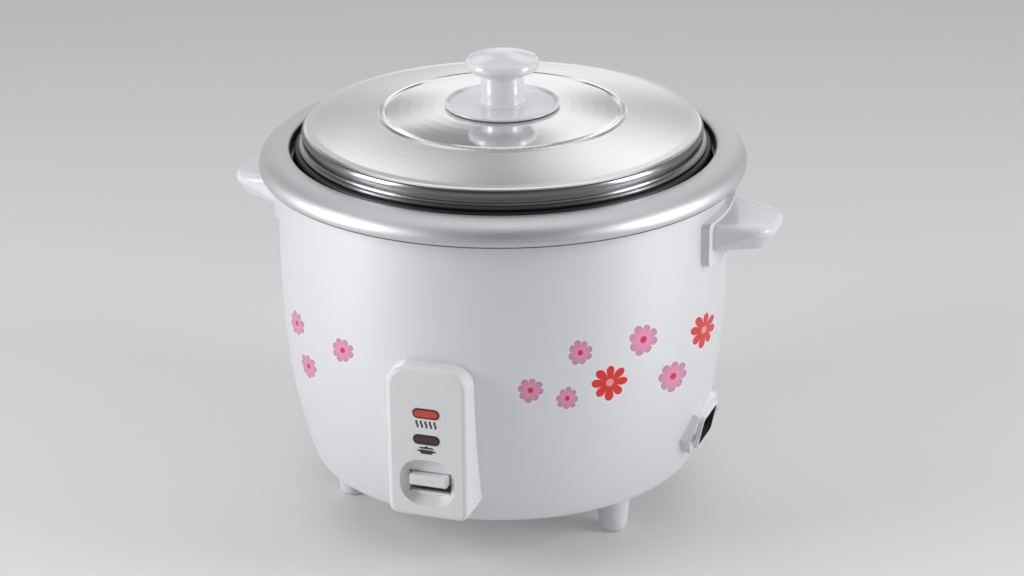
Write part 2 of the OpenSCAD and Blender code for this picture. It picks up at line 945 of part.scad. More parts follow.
module inlet_pins() {
    color(brass)
        at_inlet()
            for (p = inlet_pin_places)
                translate([-27, p[0] - 2, p[1] - 1])
                    cube([22, 4, 2]);
}

module inlet_screws() {
    color(steel)
        at_inlet()
            for (y = [-1, 1])
                translate([eps, y * 20, 0])
                    rotate([0, -90, 0])
                        screw(1.5, 16, 2.8, 1.5);
}

module earth_screw() {
    color(brass)
        translate([54, -31, foot_h + 1.2])
            union() {
                cylinder(r = 3, h = 2);
                translate([0, 0, 1])
                    cylinder(r = 1.6, h = 5);
            }
}

// ---------------------------------------------------------------- wires

// The first two points of a wire that starts at one of the inlet's terminals
function from_terminal(p) = [for (x = [-27.2, -31])
    let (out = drum_r(inlet_z) + 2.5 + x * cos(inlet_tilt) + p[1] * sin(inlet_tilt))
    [out * cos(inlet_turn) - p[0] * sin(inlet_turn), out * sin(inlet_turn) + p[0] * cos(inlet_turn),
    inlet_z - x * sin(inlet_tilt) + p[1] * cos(inlet_tilt)]];

module live_wire() {
    color("saddlebrown")
        wire(concat(from_terminal(inlet_pin_places[0]), [[83, -13.5, 47.2], [76, -22, 37],
            [66, -40, 29], [46, -60, 27], [26, -76, 26.6], [12, -83.6, 27.6], [3, -84, 28.3]]), 1.3);
}

module neutral_wire() {
    color("steelblue")
        wire(concat(from_terminal(inlet_pin_places[1]), [[83, 4.5, 47.2], [76, 12, 38],
            [58, 30, 34], [40, 44, 34], [24, 51, 36], [18.6, 49.6, 40], [17.8, 48.9, 43.7]]), 1.3);
}

module switch_wire() {
    color("saddlebrown")
        wire([[-3, -100, 28.4], [-8, -98.5, 28.3], [-14, -95, 28], [-26, -78, 27], [-40, -46, 28],
            [-50, -8, 30], [-48, 34, 36], [-36, 60, 46], [-25, 72, 53], [-18.4, 74, 55]], 1.3);
}

module fuse_wire() {
    color("saddlebrown")
        wire([[18.4, 74, 55], [22, 74, 52.6], [20, 72, 44], [8, 66, 36], [-8, 58, 33],
            [-16, 52, 36], [-17.8, 49.4, 40], [-17.8, 48.9, 43.7]], 1.3);
}

module thermostat_wires() {
    color("saddlebrown") {
        wire([[-66, 20, 46.7], [-66, 20, 43.8], [-65, 16, 41], [-60, 4, 38], [-50, -20, 35],
            [-34, -50, 33], [-16, -76, 29.6], [-8, -83, 28.6], [-3, -84, 28.6]], 1);
        wire([[-74, 20, 46.7], [-74, 20, 43.8], [-74.6, 16, 41], [-74, 4, 34], [-66, -24, 27],
            [-46, -62, 25], [-22, -90, 24.4], [-9, -99, 24.9], [-3, -100, 25.9]], 1);
    }
}

module earth_wire() {
    color("olivedrab")
        wire(concat(from_terminal(inlet_pin_places[2]), [[83, -7.5, 50.5], [77, -11, 42],
            [69, -18, 35], [60, -26, 32], [54, -31, 30.4], [54, -31, 27.4]]), 1.3);
}

module lamp_wires() {
    color("dimgray") {
        wire([[9.9, -128.6, lamp_z[0]], [14, -128.4, lamp_z[0] - 1.6], [15.2, -127.8, 84],
            [15.2, -127.4, 72], [15.2, -124, 66.8], [15.2, -117.6, 65.4], [14, -112, 57],
            [12, -108, 44], [9.4, -103, 31], [6.4, -100.4, 27], [3, -100, 26.6]], 0.7);
        wire([[9.9, -128.6, lamp_z[1]], [12, -128.4, lamp_z[1] - 1.4], [12.8, -127.4, 72],
            [12.8, -124, 66.8], [12.8, -117.6, 65.4], [11.6, -110.4, 55], [14, -104, 40],
            [13, -93, 30], [8, -86, 25.8], [3, -84, 25.8]], 0.7);
    }
}

raised() outer_shell();
raised() top_rim();
raised() inner_casing();
raised() base_plate();
raised() base_screws();
raised() foot_left();
raised() foot_right();
raised() foot_rear();
raised() foot_screws();
raised() left_handle();
raised() right_handle();
raised() handle_screws();
raised() control_panel();
raised() panel_screws();
raised() warm_lens();
raised() cook_lens();
raised() warm_lamp();
raised() cook_lamp();
raised() inner_pan();
raised() lid();
raised() knob_disc();
raised() knob();
raised() knob_screw();
raised() heating_plate();
raised() heating_element();
raised() plate_spacers();
raised() plate_screws();
raised() warm_thermostat();
raised() thermal_fuse();
raised() fuse_clip();
raised() sensor_cap();
raised() sensor_magnet();
raised() sensor_spring();
raised() sensor_holder();
raised() holder_screws();
raised() magnet_rod();
raised() switch_bracket();
raised() bracket_screws();
raised() lever_pin();
raised() switch_lever();
raised() cook_key();
raised() return_spring();
raised() contact_block();
raised() contact_screws();
raised() contact_plunger();
raised() inlet_socket();
raised() inlet_pins();
raised() inlet_screws();
raised() earth_screw();
raised() live_wire();
raised() neutral_wire();
raised() switch_wire();
raised() fuse_wire();
raised() thermostat_wires();
raised() earth_wire();
raised() lamp_wires();
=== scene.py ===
"""Finishes, prints, springs and studio for the drum rice cooker."""

from __future__ import annotations

import logging
import math
from dataclasses import dataclass
from enum import Enum
from typing import Callable, Sequence

import bmesh
import bpy
from mathutils import Matrix, Vector

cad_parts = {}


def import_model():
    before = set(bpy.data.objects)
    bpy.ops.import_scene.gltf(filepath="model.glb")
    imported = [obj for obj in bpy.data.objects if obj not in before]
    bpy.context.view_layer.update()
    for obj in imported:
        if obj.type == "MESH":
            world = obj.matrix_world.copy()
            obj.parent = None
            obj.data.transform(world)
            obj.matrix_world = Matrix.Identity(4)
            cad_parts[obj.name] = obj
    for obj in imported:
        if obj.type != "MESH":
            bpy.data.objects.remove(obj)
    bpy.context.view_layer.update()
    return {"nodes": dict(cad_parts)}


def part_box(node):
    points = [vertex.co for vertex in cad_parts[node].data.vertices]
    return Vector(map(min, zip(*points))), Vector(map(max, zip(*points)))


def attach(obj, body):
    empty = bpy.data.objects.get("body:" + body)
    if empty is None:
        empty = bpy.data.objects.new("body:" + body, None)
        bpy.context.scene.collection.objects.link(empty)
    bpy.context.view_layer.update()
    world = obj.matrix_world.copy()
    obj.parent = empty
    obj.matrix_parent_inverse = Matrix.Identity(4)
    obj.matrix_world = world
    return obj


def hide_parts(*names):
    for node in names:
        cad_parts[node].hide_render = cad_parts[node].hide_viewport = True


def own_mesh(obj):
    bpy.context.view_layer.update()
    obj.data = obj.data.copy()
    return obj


LOG = logging.getLogger("rice_cooker")
MM = 0.001

Colour = tuple[float, float, float]
Socket = bpy.types.NodeSocket
Number = float | Socket
Inputs = dict[str, Number | Colour]
Sockets = dict[str, Socket]


def srgb(red: int, green: int, blue: int) -> Colour:
    """Linear colour of an 8-bit display colour.

    Args:
        red: Red from 0 to 255.
        green: Green from 0 to 255.
        blue: Blue from 0 to 255.

    Returns:
        The three channels in linear light.
    """

    def linear(channel: int) -> float:
        """One channel in linear light."""
        share = channel / 255
        return share / 12.92 if share <= 0.04045 else ((share + 0.055) / 1.055) ** 2.4

    return linear(red), linear(green), linear(blue)


def scaled(colour: Colour, share: float) -> Colour:
    """A darker or paler tone of a colour in linear light."""
    red, green, blue = (share * channel for channel in colour)
    return red, green, blue


# ------------------------------------------------------------------ node layout


class Graph:
    """Short calls that lay out shader nodes in one tree."""

    def __init__(self, tree: bpy.types.NodeTree) -> None:
        """Start on the node tree that the nodes are added to."""
        self.tree = tree

    def node(self, kind: str, **settings: object) -> bpy.types.Node:
        """Add a node.

        Args:
            kind: The node's type name.
            settings: Values for the node's own properties.

        Returns:
            The new node.
        """
        made = self.tree.nodes.new(kind)
        for key, value in settings.items():
            setattr(made, key, value)
        return made

    def feed(self, target: Socket, source: Number | Colour) -> None:
        """Link a socket, or set its constant.

        Args:
            target: The input to fill.
            source: A socket to link from, or a value.
        """
        if isinstance(source, bpy.types.NodeSocket):
            self.tree.links.new(source, target)
        elif isinstance(source, tuple) and len(target.default_value) == 4:
            target.default_value = (*source, 1.0)
        else:
            target.default_value = source

    def fill(self, target: bpy.types.Node, values: Inputs) -> None:
        """Feed several inputs of a node by their names."""
        for name, value in values.items():
            self.feed(target.inputs[name], value)

    def math(self, operation: str, *values: Number, clamp: bool = False) -> Socket:
        """One arithmetic step.

        Args:
            operation: The Math node's operation.
            values: Its inputs, as sockets or numbers.
            clamp: Keep the result between 0 and 1.

        Returns:
            The result's socket.
        """
        made = self.node("ShaderNodeMath", operation=operation, use_clamp=clamp)
        for socket, value in zip(made.inputs, values):
            self.feed(socket, value)
        return made.outputs[0]

    def spread(self, value: Number, low: float, high: float, start: Number, end: Number) -> Socket:
        """Map a value smoothly from one span to another.

        Args:
            value: The value to map.
            low: Where the first span starts.
            high: Where the first span ends.
            start: Result at low.
            end: Result at high.

        Returns:
            The mapped value's socket.
        """
        made = self.node("ShaderNodeMapRange", interpolation_type="SMOOTHSTEP")
        for socket, given in zip(made.inputs, (value, low, high, start, end)):
            self.feed(socket, given)
        return made.outputs[0]

    def weigh(self, operation: str, *pairs: tuple[Number, Number]) -> Socket:
        """Add or subtract two products, such as a place's parts and their shares."""
        return self.math(operation, *(self.math("MULTIPLY", *pair) for pair in pairs))

    def span(self, first: Number, second: Number) -> Socket:
        """Length of the slope over two legs at right angles."""
        squares = (self.math("POWER", leg, 2.0) for leg in (first, second))
        return self.math("SQRT", self.math("ADD", *squares))

    def parts(self, vector: Socket) -> tuple[Socket, ...]:
        """Split a vector.

        Args:
            vector: The vector.

        Returns:
            Its X, Y and Z.
        """
        made = self.node("ShaderNodeSeparateXYZ")
        self.feed(made.inputs[0], vector)
        return tuple(made.outputs)

    def mix(self, share: Number, first: Socket | Colour, second: Socket | Colour) -> Socket:
        """Blend two colours.

        Args:
            share: How much of the second colour.
            first: The colour at 0.
            second: The colour at 1.

        Returns:
            The blended colour's socket.
        """
        made = self.node("ShaderNodeMix", data_type="RGBA")
        self.feed(made.inputs[0], share)
        self.feed(made.inputs[6], first)
        self.feed(made.inputs[7], second)
        return made.outputs[2]

    def noise(self, vector: Socket, scale: Number, detail: float = 2.0) -> Socket:
        """Soft three-dimensional noise between 0 and 1.

        Args:
            vector: The place that it varies with.
            scale: How fine it is.
            detail: How many finer layers it has.

        Returns:
            The noise's socket.
        """
        made = self.node("ShaderNodeTexNoise")
        self.fill(made, {"Vector": vector, "Scale": scale, "Detail": detail})
        return made.outputs[0]

    def place(self) -> Socket:
        """Place on the piece, in metres, in the cooker's own frame."""
        return self.node("ShaderNodeTexCoord").outputs["Object"]

    def effect(self, group: bpy.types.NodeTree, **values: Number | Colour) -> bpy.types.Node:
        """Put a shared effect into this tree.

        Args:
            group: The effect's node group.
            values: What its named inputs take.

        Returns:
            The group's node.
        """
        made = self.node("ShaderNodeGroup", node_tree=group)
        self.fill(made, values)
        return made

    def bump(self, height: Socket, depth: float, strength: float = 1.0) -> Socket:
        """Normal of a surface whose height varies.

        Args:
            height: Height between 0 and 1.
            depth: Depth of the relief in metres.
            strength: Share of the relief that shows.

        Returns:
            The normal's socket.
        """
        made = self.node("ShaderNodeBump")
        self.fill(made, {"Strength": strength, "Distance": depth, "Height": height})
        return made.outputs[0]


class Effects:
    """Node groups that several finishes use, each built once."""

    _made: dict[str, bpy.types.NodeTree] = {}

    @classmethod
    def _group(
        cls,
        name: str,
        inputs: dict[str, float | str],
        outputs: Sequence[str],
        fill: Callable[[Graph, Sockets, Sockets], None],
    ) -> bpy.types.NodeTree:
        """Make a group, or return it if it is there.

        Args:
            name: The group's name.
            inputs: Input names with their usual values; "vector" marks a vector.
            outputs: Names of the values that it puts out.
            fill: Lays out the nodes between the two.

        Returns:
            The node group.
        """
        if name in cls._made:
            return cls._made[name]
        tree = bpy.data.node_groups.new(name, "ShaderNodeTree")
        for label, value in inputs.items():
            kind = "NodeSocketVector" if value == "vector" else "NodeSocketFloat"
            socket = tree.interface.new_socket(label, in_out="INPUT", socket_type=kind)
            if value != "vector":
                socket.default_value = value
        for label in outputs:
            tree.interface.new_socket(label, in_out="OUTPUT", socket_type="NodeSocketFloat")
        graph = Graph(tree)
        source = graph.node("NodeGroupInput")
        sink = graph.node("NodeGroupOutput")
        fill(
            graph,
            {socket.name: socket for socket in source.outputs if socket.name},
            {socket.name: socket for socket in sink.inputs if socket.name},
        )
        cls._made[name] = tree
        return tree

    @classmethod
    def spun_lines(cls) -> bpy.types.NodeTree:
        """Fine rings left by spinning or turning round the upright axis.

        Returns:
            The node group.
        """
        wander_scale = 18.0

        def fill(graph: Graph, given: Sockets, out: Sockets) -> None:
            """Lay out noise that varies with the distance from the axis only.

            Args:
                graph: The group's graph.
                given: Its input sockets by name.
                out: Its output sockets by name.
            """
            radius = graph.span(*graph.parts(given["Vector"])[:2])
            slow = graph.noise(given["Vector"], wander_scale)
            wander = graph.math("MULTIPLY", slow, given["Wobble"])
            steps = graph.math("DIVIDE", graph.math("ADD", radius, wander), given["Spacing"])
            rings = graph.node("ShaderNodeTexNoise", noise_dimensions="1D")
            graph.fill(rings, {"W": steps, "Scale": 1.0, "Detail": 4.0})
            graph.feed(out["Lines"], rings.outputs[0])

        usual = {"Vector": "vector", "Spacing": 0.0006, "Wobble": 0.0002}
        return cls._group("spun_lines", usual, ("Lines",), fill)

    @classmethod
    def fine_grain(cls) -> bpy.types.NodeTree:
        """The faint grain of a moulded or painted surface, with a slower drift.

        Returns:
            The node group.
        """
        drift_share = 60.0  # how many times coarser the drift is
        grain_detail = 3.0

        def fill(graph: Graph, given: Sockets, out: Sockets) -> None:
            """Lay out a fine and a slow noise.

            Args:
                graph: The group's graph.
                given: Its input sockets by name.
                out: Its output sockets by name.
            """
            graph.feed(out["Grain"], graph.noise(given["Vector"], given["Scale"], grain_detail))
            slow = graph.math("DIVIDE", given["Scale"], drift_share)
            graph.feed(out["Drift"], graph.noise(given["Vector"], slow))

        usual = {"Vector": "vector", "Scale": 900.0}
        return cls._group("fine_grain", usual, ("Grain", "Drift"), fill)

    @classmethod
    def handling(cls) -> bpy.types.NodeTree:
        """Faint smears and fine scuffs from handling and wiping.

        Returns:
            The node group.
        """
        streak_shape = {"Scale": (1.0, 9.0, 3.0), "Rotation": (0.2, 0.1, 0.6)}
        streaks_per_patch = 3.0
        patch_detail, streak_detail = 3.0, 4.0
        patch_edge = (0.3, 0.8)  # noise at which a patch starts, and where it is at its fullest

        def fill(graph: Graph, given: Sockets, out: Sockets) -> None:
            """Lay out broad patches crossed by stretched streaks.

            Args:
                graph: The group's graph.
                given: Its input sockets by name.
                out: Its output sockets by name.
            """
            patch = graph.noise(given["Vector"], given["Patch"], patch_detail)
            stretch = graph.node("ShaderNodeMapping")
            graph.fill(stretch, {"Vector": given["Vector"], **streak_shape})
            finer = graph.math("MULTIPLY", given["Patch"], streaks_per_patch)
            streak = graph.noise(stretch.outputs[0], finer, streak_detail)
            both = graph.math("MULTIPLY", graph.spread(patch, *patch_edge, 0.0, 1.0), streak)
            graph.feed(out["Smear"], graph.math("MULTIPLY", both, given["Amount"]))

        usual = {"Vector": "vector", "Patch": 14.0, "Amount": 1.0}
        return cls._group("handling", usual, ("Smear",), fill)

    @classmethod
    def grain(cls, graph: Graph, place: Socket, scale: float) -> tuple[Socket, Socket]:
        """Put the fine grain into a material, and return the grain and its slower drift."""
        made = graph.effect(cls.fine_grain(), Vector=place, Scale=scale)
        return made.outputs["Grain"], made.outputs["Drift"]

    @classmethod
    def smears(cls, graph: Graph, place: Socket, scale: float, amount: float) -> Socket:
        """Put the marks of handling into a material, and return the roughness they add."""
        made = graph.effect(cls.handling(), Vector=place, Patch=scale, Amount=amount)
        return made.outputs["Smear"]

    @classmethod
    def daisy(cls) -> bpy.types.NodeTree:
        """One printed daisy on the drum's side, drawn from its middle, size and petals.

        Returns:
            The node group.
        """
        petal_crispness, outline_width, eye_crispness = 22.0, 1.9, 16.0
        lopsided, uneven, waves = -0.07, 0.045, 3.0
        tips_from = 0.25
        half, beyond = 0.5, 0.5 + outline_width

        def fill(graph: Graph, given: Sockets, out: Sockets) -> None:
            """Lay out the petals' edge as a function of the angle round the daisy.

            Args:
                graph: The group's graph.
                given: Its input sockets by name.
                out: Its output sockets by name.
            """
            east, north, up = graph.parts(given["Vector"])
            sideways = graph.weigh("ADD", (east, given["Cos"]), (north, given["Sin"]))
            outwards = graph.weigh("SUBTRACT", (east, given["Sin"]), (north, given["Cos"]))
            above = graph.math("SUBTRACT", up, given["Height"])
            above = graph.math("MULTIPLY_ADD", sideways, given["Lean"], above)
            sideways = graph.math("DIVIDE", sideways, given["Stretch"])
            span = graph.span(sideways, above)
            reach = graph.math("DIVIDE", span, given["Radius"])
            turn = graph.math("ADD", graph.math("ARCTAN2", above, sideways), given["Turn"])
            phase = graph.math("MULTIPLY", graph.math("MULTIPLY", turn, given["Petals"]), half)
            lobe = graph.math("ABSOLUTE", graph.math("COSINE", phase))
            lobe = graph.math("POWER", lobe, given["Fullness"])
            # the petals part less deeply towards the lower left
            way = graph.math("DIVIDE", graph.math("ADD", sideways, above), span)
            notch = graph.math("MULTIPLY_ADD", way, lopsided, given["Notch"])
            edge = graph.math("MULTIPLY_ADD", lobe, graph.math("SUBTRACT", 1.0, notch), notch)
            wave = graph.math("SINE", graph.math("MULTIPLY_ADD", turn, waves, given["Turn"]))
            edge = graph.math("MULTIPLY_ADD", wave, uneven, edge)
            inside = graph.math("SUBTRACT", edge, reach)
            centre = graph.math("SUBTRACT", given["Centre"], reach)
            petals = graph.math("MULTIPLY_ADD", inside, petal_crispness, half, clamp=True)
            tips = graph.spread(reach, tips_from, 1.0, 0.0, 1.0)
            seen = graph.math("GREATER_THAN", outwards, 0.0)
            for name, drawn in {
                "Petals": petals,
                "Outline": graph.math("MULTIPLY_ADD", inside, petal_crispness, beyond, clamp=True),
                "Eye": graph.math("MULTIPLY_ADD", centre, eye_crispness, half, clamp=True),
                "Tips": graph.math("MULTIPLY", tips, petals),
            }.items():
                graph.feed(out[name], graph.math("MULTIPLY", drawn, seen))

        usual = {"Vector": "vector", "Sin": 0.0, "Cos": 1.0, "Height": 0.1, "Radius": 0.008}
        usual |= {"Petals": 8.0, "Notch": 0.6, "Fullness": 0.4, "Turn": 0.0, "Centre": 0.22}
        usual |= {"Stretch": 1.0, "Lean": 0.0}
        return cls._group("daisy", usual, ("Petals", "Eye", "Tips", "Outline"), fill)


def new_material(name: str) -> tuple[bpy.types.Material, Graph, bpy.types.Node]:
    """A material with only its surface shader.

    Args:
        name: The material's name.

    Returns:
        The material, its graph and its surface shader.
    """
    made = bpy.data.materials.new(name)
    made.use_nodes = True
    surface = made.node_tree.nodes["Principled BSDF"]
    return made, Graph(made.node_tree), surface


# ------------------------------------------------------------------ finishes


@dataclass(frozen=True)
class Finish:
    """The finish of a surface, in its own colour."""

    name: str
    colour: Colour

    def inputs(self, graph: Graph, place: Socket) -> Inputs:
        """What this finish feeds to the surface shader.

        Args:
            graph: The material's graph.
            place: Place on the piece.

        Returns:
            A value or a socket for each input.
        """
        raise NotImplementedError

    def build(self) -> bpy.types.Material:
        """Make the material.

        Returns:
            The material.
        """
        made, graph, surface = new_material(self.name)
        graph.fill(surface, self.inputs(graph, graph.place()))
        return made


@dataclass(frozen=True)
class Plastic(Finish):
    """A moulded plastic with a fine grain and a slight drift in its tone."""

    roughness: float = 0.3
    coat: float = 0.25
    grain_depth: float = 0.00001
    see_into: float = 0.0
    grain_scale: float = 1400.0
    smear: float = 0.03
    smear_scale: float = 22.0
    tone: float = 0.93
    tone_drift: float = 0.5
    grain_strength: float = 0.5
    coat_roughness: float = 0.08
    see_into_depth: float = 0.002

    def inputs(self, graph: Graph, place: Socket) -> Inputs:
        """What this finish feeds to the surface shader.

        Args:
            graph: The material's graph.
            place: Place on the piece.

        Returns:
            A value or a socket for each input.
        """
        grain, drift = Effects.grain(graph, place, self.grain_scale)
        smears = Effects.smears(graph, place, self.smear_scale, self.smear)
        drift = graph.math("MULTIPLY", drift, self.tone_drift)
        return {
            "Base Color": graph.mix(drift, self.colour, scaled(self.colour, self.tone)),
            "Roughness": graph.math("ADD", smears, self.roughness),
            "Normal": graph.bump(grain, self.grain_depth, self.grain_strength),
            "Coat Weight": self.coat,
            "Coat Roughness": self.coat_roughness,
            "Subsurface Weight": self.see_into,
            "Subsurface Scale": self.see_into_depth,
        }


@dataclass(frozen=True)
class SpunMetal(Finish):
    """Sheet or cast metal with fine rings from spinning, brushing or turning."""

    roughness: float
    line_spacing: float = 0.0005
    line_depth: float = 0.000004
    line_contrast: float = 0.08
    stretch: float = 0.5
    smear: float = 0.1
    smear_scale: float = 16.0
    line_wobble: float = 0.0001
    line_strength: float = 0.6
    tone: float = 0.86

    def inputs(self, graph: Graph, place: Socket) -> Inputs:
        """What this finish feeds to the surface shader.

        Args:
            graph: The material's graph.
            place: Place on the piece.

        Returns:
            A value or a socket for each input.
        """
        lines = graph.effect(
            Effects.spun_lines(), Vector=place, Spacing=self.line_spacing, Wobble=self.line_wobble
        ).outputs["Lines"]
        smears = Effects.smears(graph, place, self.smear_scale, self.smear)
        rough = graph.math("MULTIPLY_ADD", lines, self.line_contrast, self.roughness)
        tangent = graph.node("ShaderNodeTangent", direction_type="RADIAL", axis="Z")
        return {
            "Base Color": graph.mix(lines, self.colour, scaled(self.colour, self.tone)),
            "Metallic": 1.0,
            "Roughness": graph.math("ADD", rough, smears),
            "Anisotropic": self.stretch,
            "Tangent": tangent.outputs[0],
            "Normal": graph.bump(lines, self.line_depth, self.line_strength),
        }


@dataclass(frozen=True)
class PlainMetal(Finish):
    """Plated, oxidised or sintered metal, mottled without a direction."""

    roughness: float
    mottle: float = 0.12
    mottle_scale: float = 500.0
    relief: float = 0.00001
    metallic: float = 1.0
    smear: float = 0.2
    smear_scale: float = 30.0

    def inputs(self, graph: Graph, place: Socket) -> Inputs:
        """What this finish feeds to the surface shader.

        Args:
            graph: The material's graph.
            place: Place on the piece.

        Returns:
            A value or a socket for each input.
        """
        grain, drift = Effects.grain(graph, place, self.mottle_scale)
        smears = Effects.smears(graph, place, self.smear_scale, self.smear)
        darker = scaled(self.colour, 1 - 2 * self.mottle)
        rough = graph.math("MULTIPLY_ADD", grain, self.mottle, self.roughness)
        return {
            "Base Color": graph.mix(graph.math("MULTIPLY", drift, grain), self.colour, darker),
            "Metallic": self.metallic,
            "Roughness": graph.math("ADD", rough, smears),
            "Normal": graph.bump(grain, self.relief),
        }


@dataclass(frozen=True)
class LensPlastic(Finish):
    """A tinted lens window, with painted shade round its rim where its wall turns in at the slot.
    """

    rim_shade: Colour
    height: float
    half_length: float = 0.0046
    half_width: float = 0.0028
    rim_span: tuple[float, float] = (0.56, 0.84)  # shares of the half width
    tone: float = 0.8
    roughness: float = 0.16
    roughness_drift: float = 0.1
    grain_scale: float = 700.0
    ribs_per_metre: float = 7000.0  # in radians
    rib_depth: float = 0.00002
    rib_strength: float = 0.35

    def inputs(self, graph: Graph, place: Socket) -> Inputs:
        """What this finish feeds to the surface shader.

        Args:
            graph: The material's graph.
            place: Place on the piece.

        Returns:
            A value or a socket for each input.
        """
        sideways, _, up = graph.parts(place)
        side = graph.math("ABSOLUTE", sideways)
        beyond = graph.math("MAXIMUM", graph.math("SUBTRACT", side, self.half_length), 0.0)
        distance = graph.span(beyond, graph.math("SUBTRACT", up, self.height))
        share = graph.math("DIVIDE", distance, self.half_width)
        grain, drift = Effects.grain(graph, place, self.grain_scale)
        tint = graph.mix(grain, self.colour, scaled(self.colour, self.tone))
        # painted shade round the lens's rim
        edge = graph.spread(share, *self.rim_span, 0.0, 1.0)
        ribs = graph.math("SINE", graph.math("MULTIPLY", sideways, self.ribs_per_metre))
        return {
            "Base Color": graph.mix(edge, tint, self.rim_shade),
            "Roughness": graph.math("MULTIPLY_ADD", drift, self.roughness_drift, self.roughness),
            "Normal": graph.bump(ribs, self.rib_depth, self.rib_strength),
            "Coat Weight": 0.25,
            "Coat Roughness": 0.06,
        }


@dataclass(frozen=True)
class ClearGlass(Finish):
    """The glass of a small lamp."""

    roughness: float = 0.03
    roughness_grain: float = 0.05
    grain_scale: float = 300.0

    def inputs(self, graph: Graph, place: Socket) -> Inputs:
        """What this finish feeds to the surface shader.

        Args:
            graph: The material's graph.
            place: Place on the piece.

        Returns:
            A value or a socket for each input.
        """
        grain, drift = Effects.grain(graph, place, self.grain_scale)
        half_white = tuple((1 + channel) / 2 for channel in self.colour)
        return {
            "Base Color": graph.mix(drift, self.colour, half_white),
            "Roughness": graph.math("MULTIPLY_ADD", grain, self.roughness_grain, self.roughness),
            "Transmission Weight": 0.9,
            "IOR": 1.5,
        }


class DaisyKind(Enum):
    """The two daisies of the print."""

    PINK = "pink"
    RED = "red"

    @property
    def petals(self) -> dict[str, float]:
        """What all daisies of this kind share.

        Returns:
            Values for inputs of the daisy group.
        """
        if self is DaisyKind.PINK:
            return {"Petals": 8.0, "Notch": 0.47, "Fullness": 0.26, "Centre": 0.22}
        return {"Petals": 8.0, "Notch": 0.28, "Fullness": 0.36, "Centre": 0.21}


@dataclass(frozen=True)
class Daisy:
    """One daisy of the print: its place, size and turn."""

    kind: DaisyKind
    angle: float  # degrees from the front towards the inlet's side
    height: float  # metres over the floor
    radius: float  # metres
    turn: float  # radians
    stretch: float  # width over height
    lean: float  # how far the print leans along the drum


@dataclass(frozen=True)
class Enamel(Finish):
    """Glossy white enamel with a band of printed daisies."""

    colour: Colour = (0.86, 0.872, 0.893)
    daisies: tuple[Daisy, ...] = ()
    pink: Colour = srgb(246, 156, 190)
    pink_tip: Colour = srgb(206, 152, 182)
    pink_eye: Colour = srgb(218, 46, 76)
    red: Colour = srgb(232, 50, 48)
    red_eye: Colour = srgb(244, 166, 178)
    outline: Colour = (0.93, 0.93, 0.94)
    tone: float = 0.965
    roughness: float = 0.36
    metallic: float = 0.4
    peel_scale: float = 420.0
    peel_depth: float = 0.00002
    peel_strength: float = 0.25
    peel_roughness: float = 0.05
    smear: float = 0.08
    smear_scale: float = 9.0
    parts: tuple[str, ...] = ("Petals", "Eye", "Tips", "Outline")

    def inputs(self, graph: Graph, place: Socket) -> Inputs:
        """What this finish feeds to the surface shader.

        Args:
            graph: The material's graph.
            place: Place on the piece.

        Returns:
            A value or a socket for each input.
        """
        totals: dict[tuple[DaisyKind, str], Number] = {
            (kind, part): 0.0 for kind in DaisyKind for part in self.parts
        }
        for daisy in self.daisies:
            angle = math.radians(daisy.angle)
            drawn = graph.effect(
                Effects.daisy(),
                Vector=place,
                Sin=math.sin(angle),
                Cos=math.cos(angle),
                Height=daisy.height,
                Radius=daisy.radius,
                Turn=daisy.turn,
                Stretch=daisy.stretch,
                Lean=daisy.lean,
                **daisy.kind.petals,
            )
            for part in self.parts:
                key = (daisy.kind, part)
                totals[key] = graph.math("ADD", totals[key], drawn.outputs[part], clamp=True)
        peel, drift = Effects.grain(graph, place, self.peel_scale)
        smears = Effects.smears(graph, place, self.smear_scale, self.smear)
        shade = graph.mix(drift, self.colour, scaled(self.colour, self.tone))
        for kind in DaisyKind:
            shade = graph.mix(totals[kind, "Outline"], shade, self.outline)
        pink = graph.mix(totals[DaisyKind.PINK, "Tips"], self.pink, self.pink_tip)
        for kind, petal, eye in (
            (DaisyKind.PINK, pink, self.pink_eye),
            (DaisyKind.RED, self.red, self.red_eye),
        ):
            shade = graph.mix(totals[kind, "Petals"], shade, petal)
            shade = graph.mix(totals[kind, "Eye"], shade, eye)
        rough = graph.math("MULTIPLY_ADD", peel, self.peel_roughness, self.roughness)
        return {
            "Base Color": shade,
            "Metallic": self.metallic,
            "Roughness": graph.math("ADD", rough, smears),
            "Normal": graph.bump(peel, self.peel_depth, self.peel_strength),
            "Coat Weight": 0.25,
            "Coat Roughness": 0.1,
        }


@dataclass(frozen=True)
class PrintInk(Finish):
    """Dark ink of the small marks."""

    colour: Colour = srgb(38, 38, 44)
    paler_by: float = 0.03
    roughness: float = 0.4
    roughness_drift: float = 0.2
    grain_scale: float = 2500.0

    def inputs(self, graph: Graph, place: Socket) -> Inputs:
        """What this finish feeds to the surface shader.

        Args:
            graph: The material's graph.
            place: Place on the piece.

        Returns:
            A value or a socket for each input.
        """
        grain, drift = Effects.grain(graph, place, self.grain_scale)
        paler = tuple(channel + self.paler_by for channel in self.colour)
        return {
            "Base Color": graph.mix(grain, self.colour, paler),
            "Roughness": graph.math("MULTIPLY_ADD", drift, self.roughness_drift, self.roughness),
        }


# ------------------------------------------------------------------ mesh helpers


def into_scene(name: str, data: bpy.types.ID) -> bpy.types.Object:
    """Put a mesh, lamp or camera into the scene.

    Args:
        name: The object's name.
        data: What the object shows or does.

    Returns:
        The new object.
    """
    made = bpy.data.objects.new(name, data)
    bpy.context.scene.collection.objects.link(made)
    return made


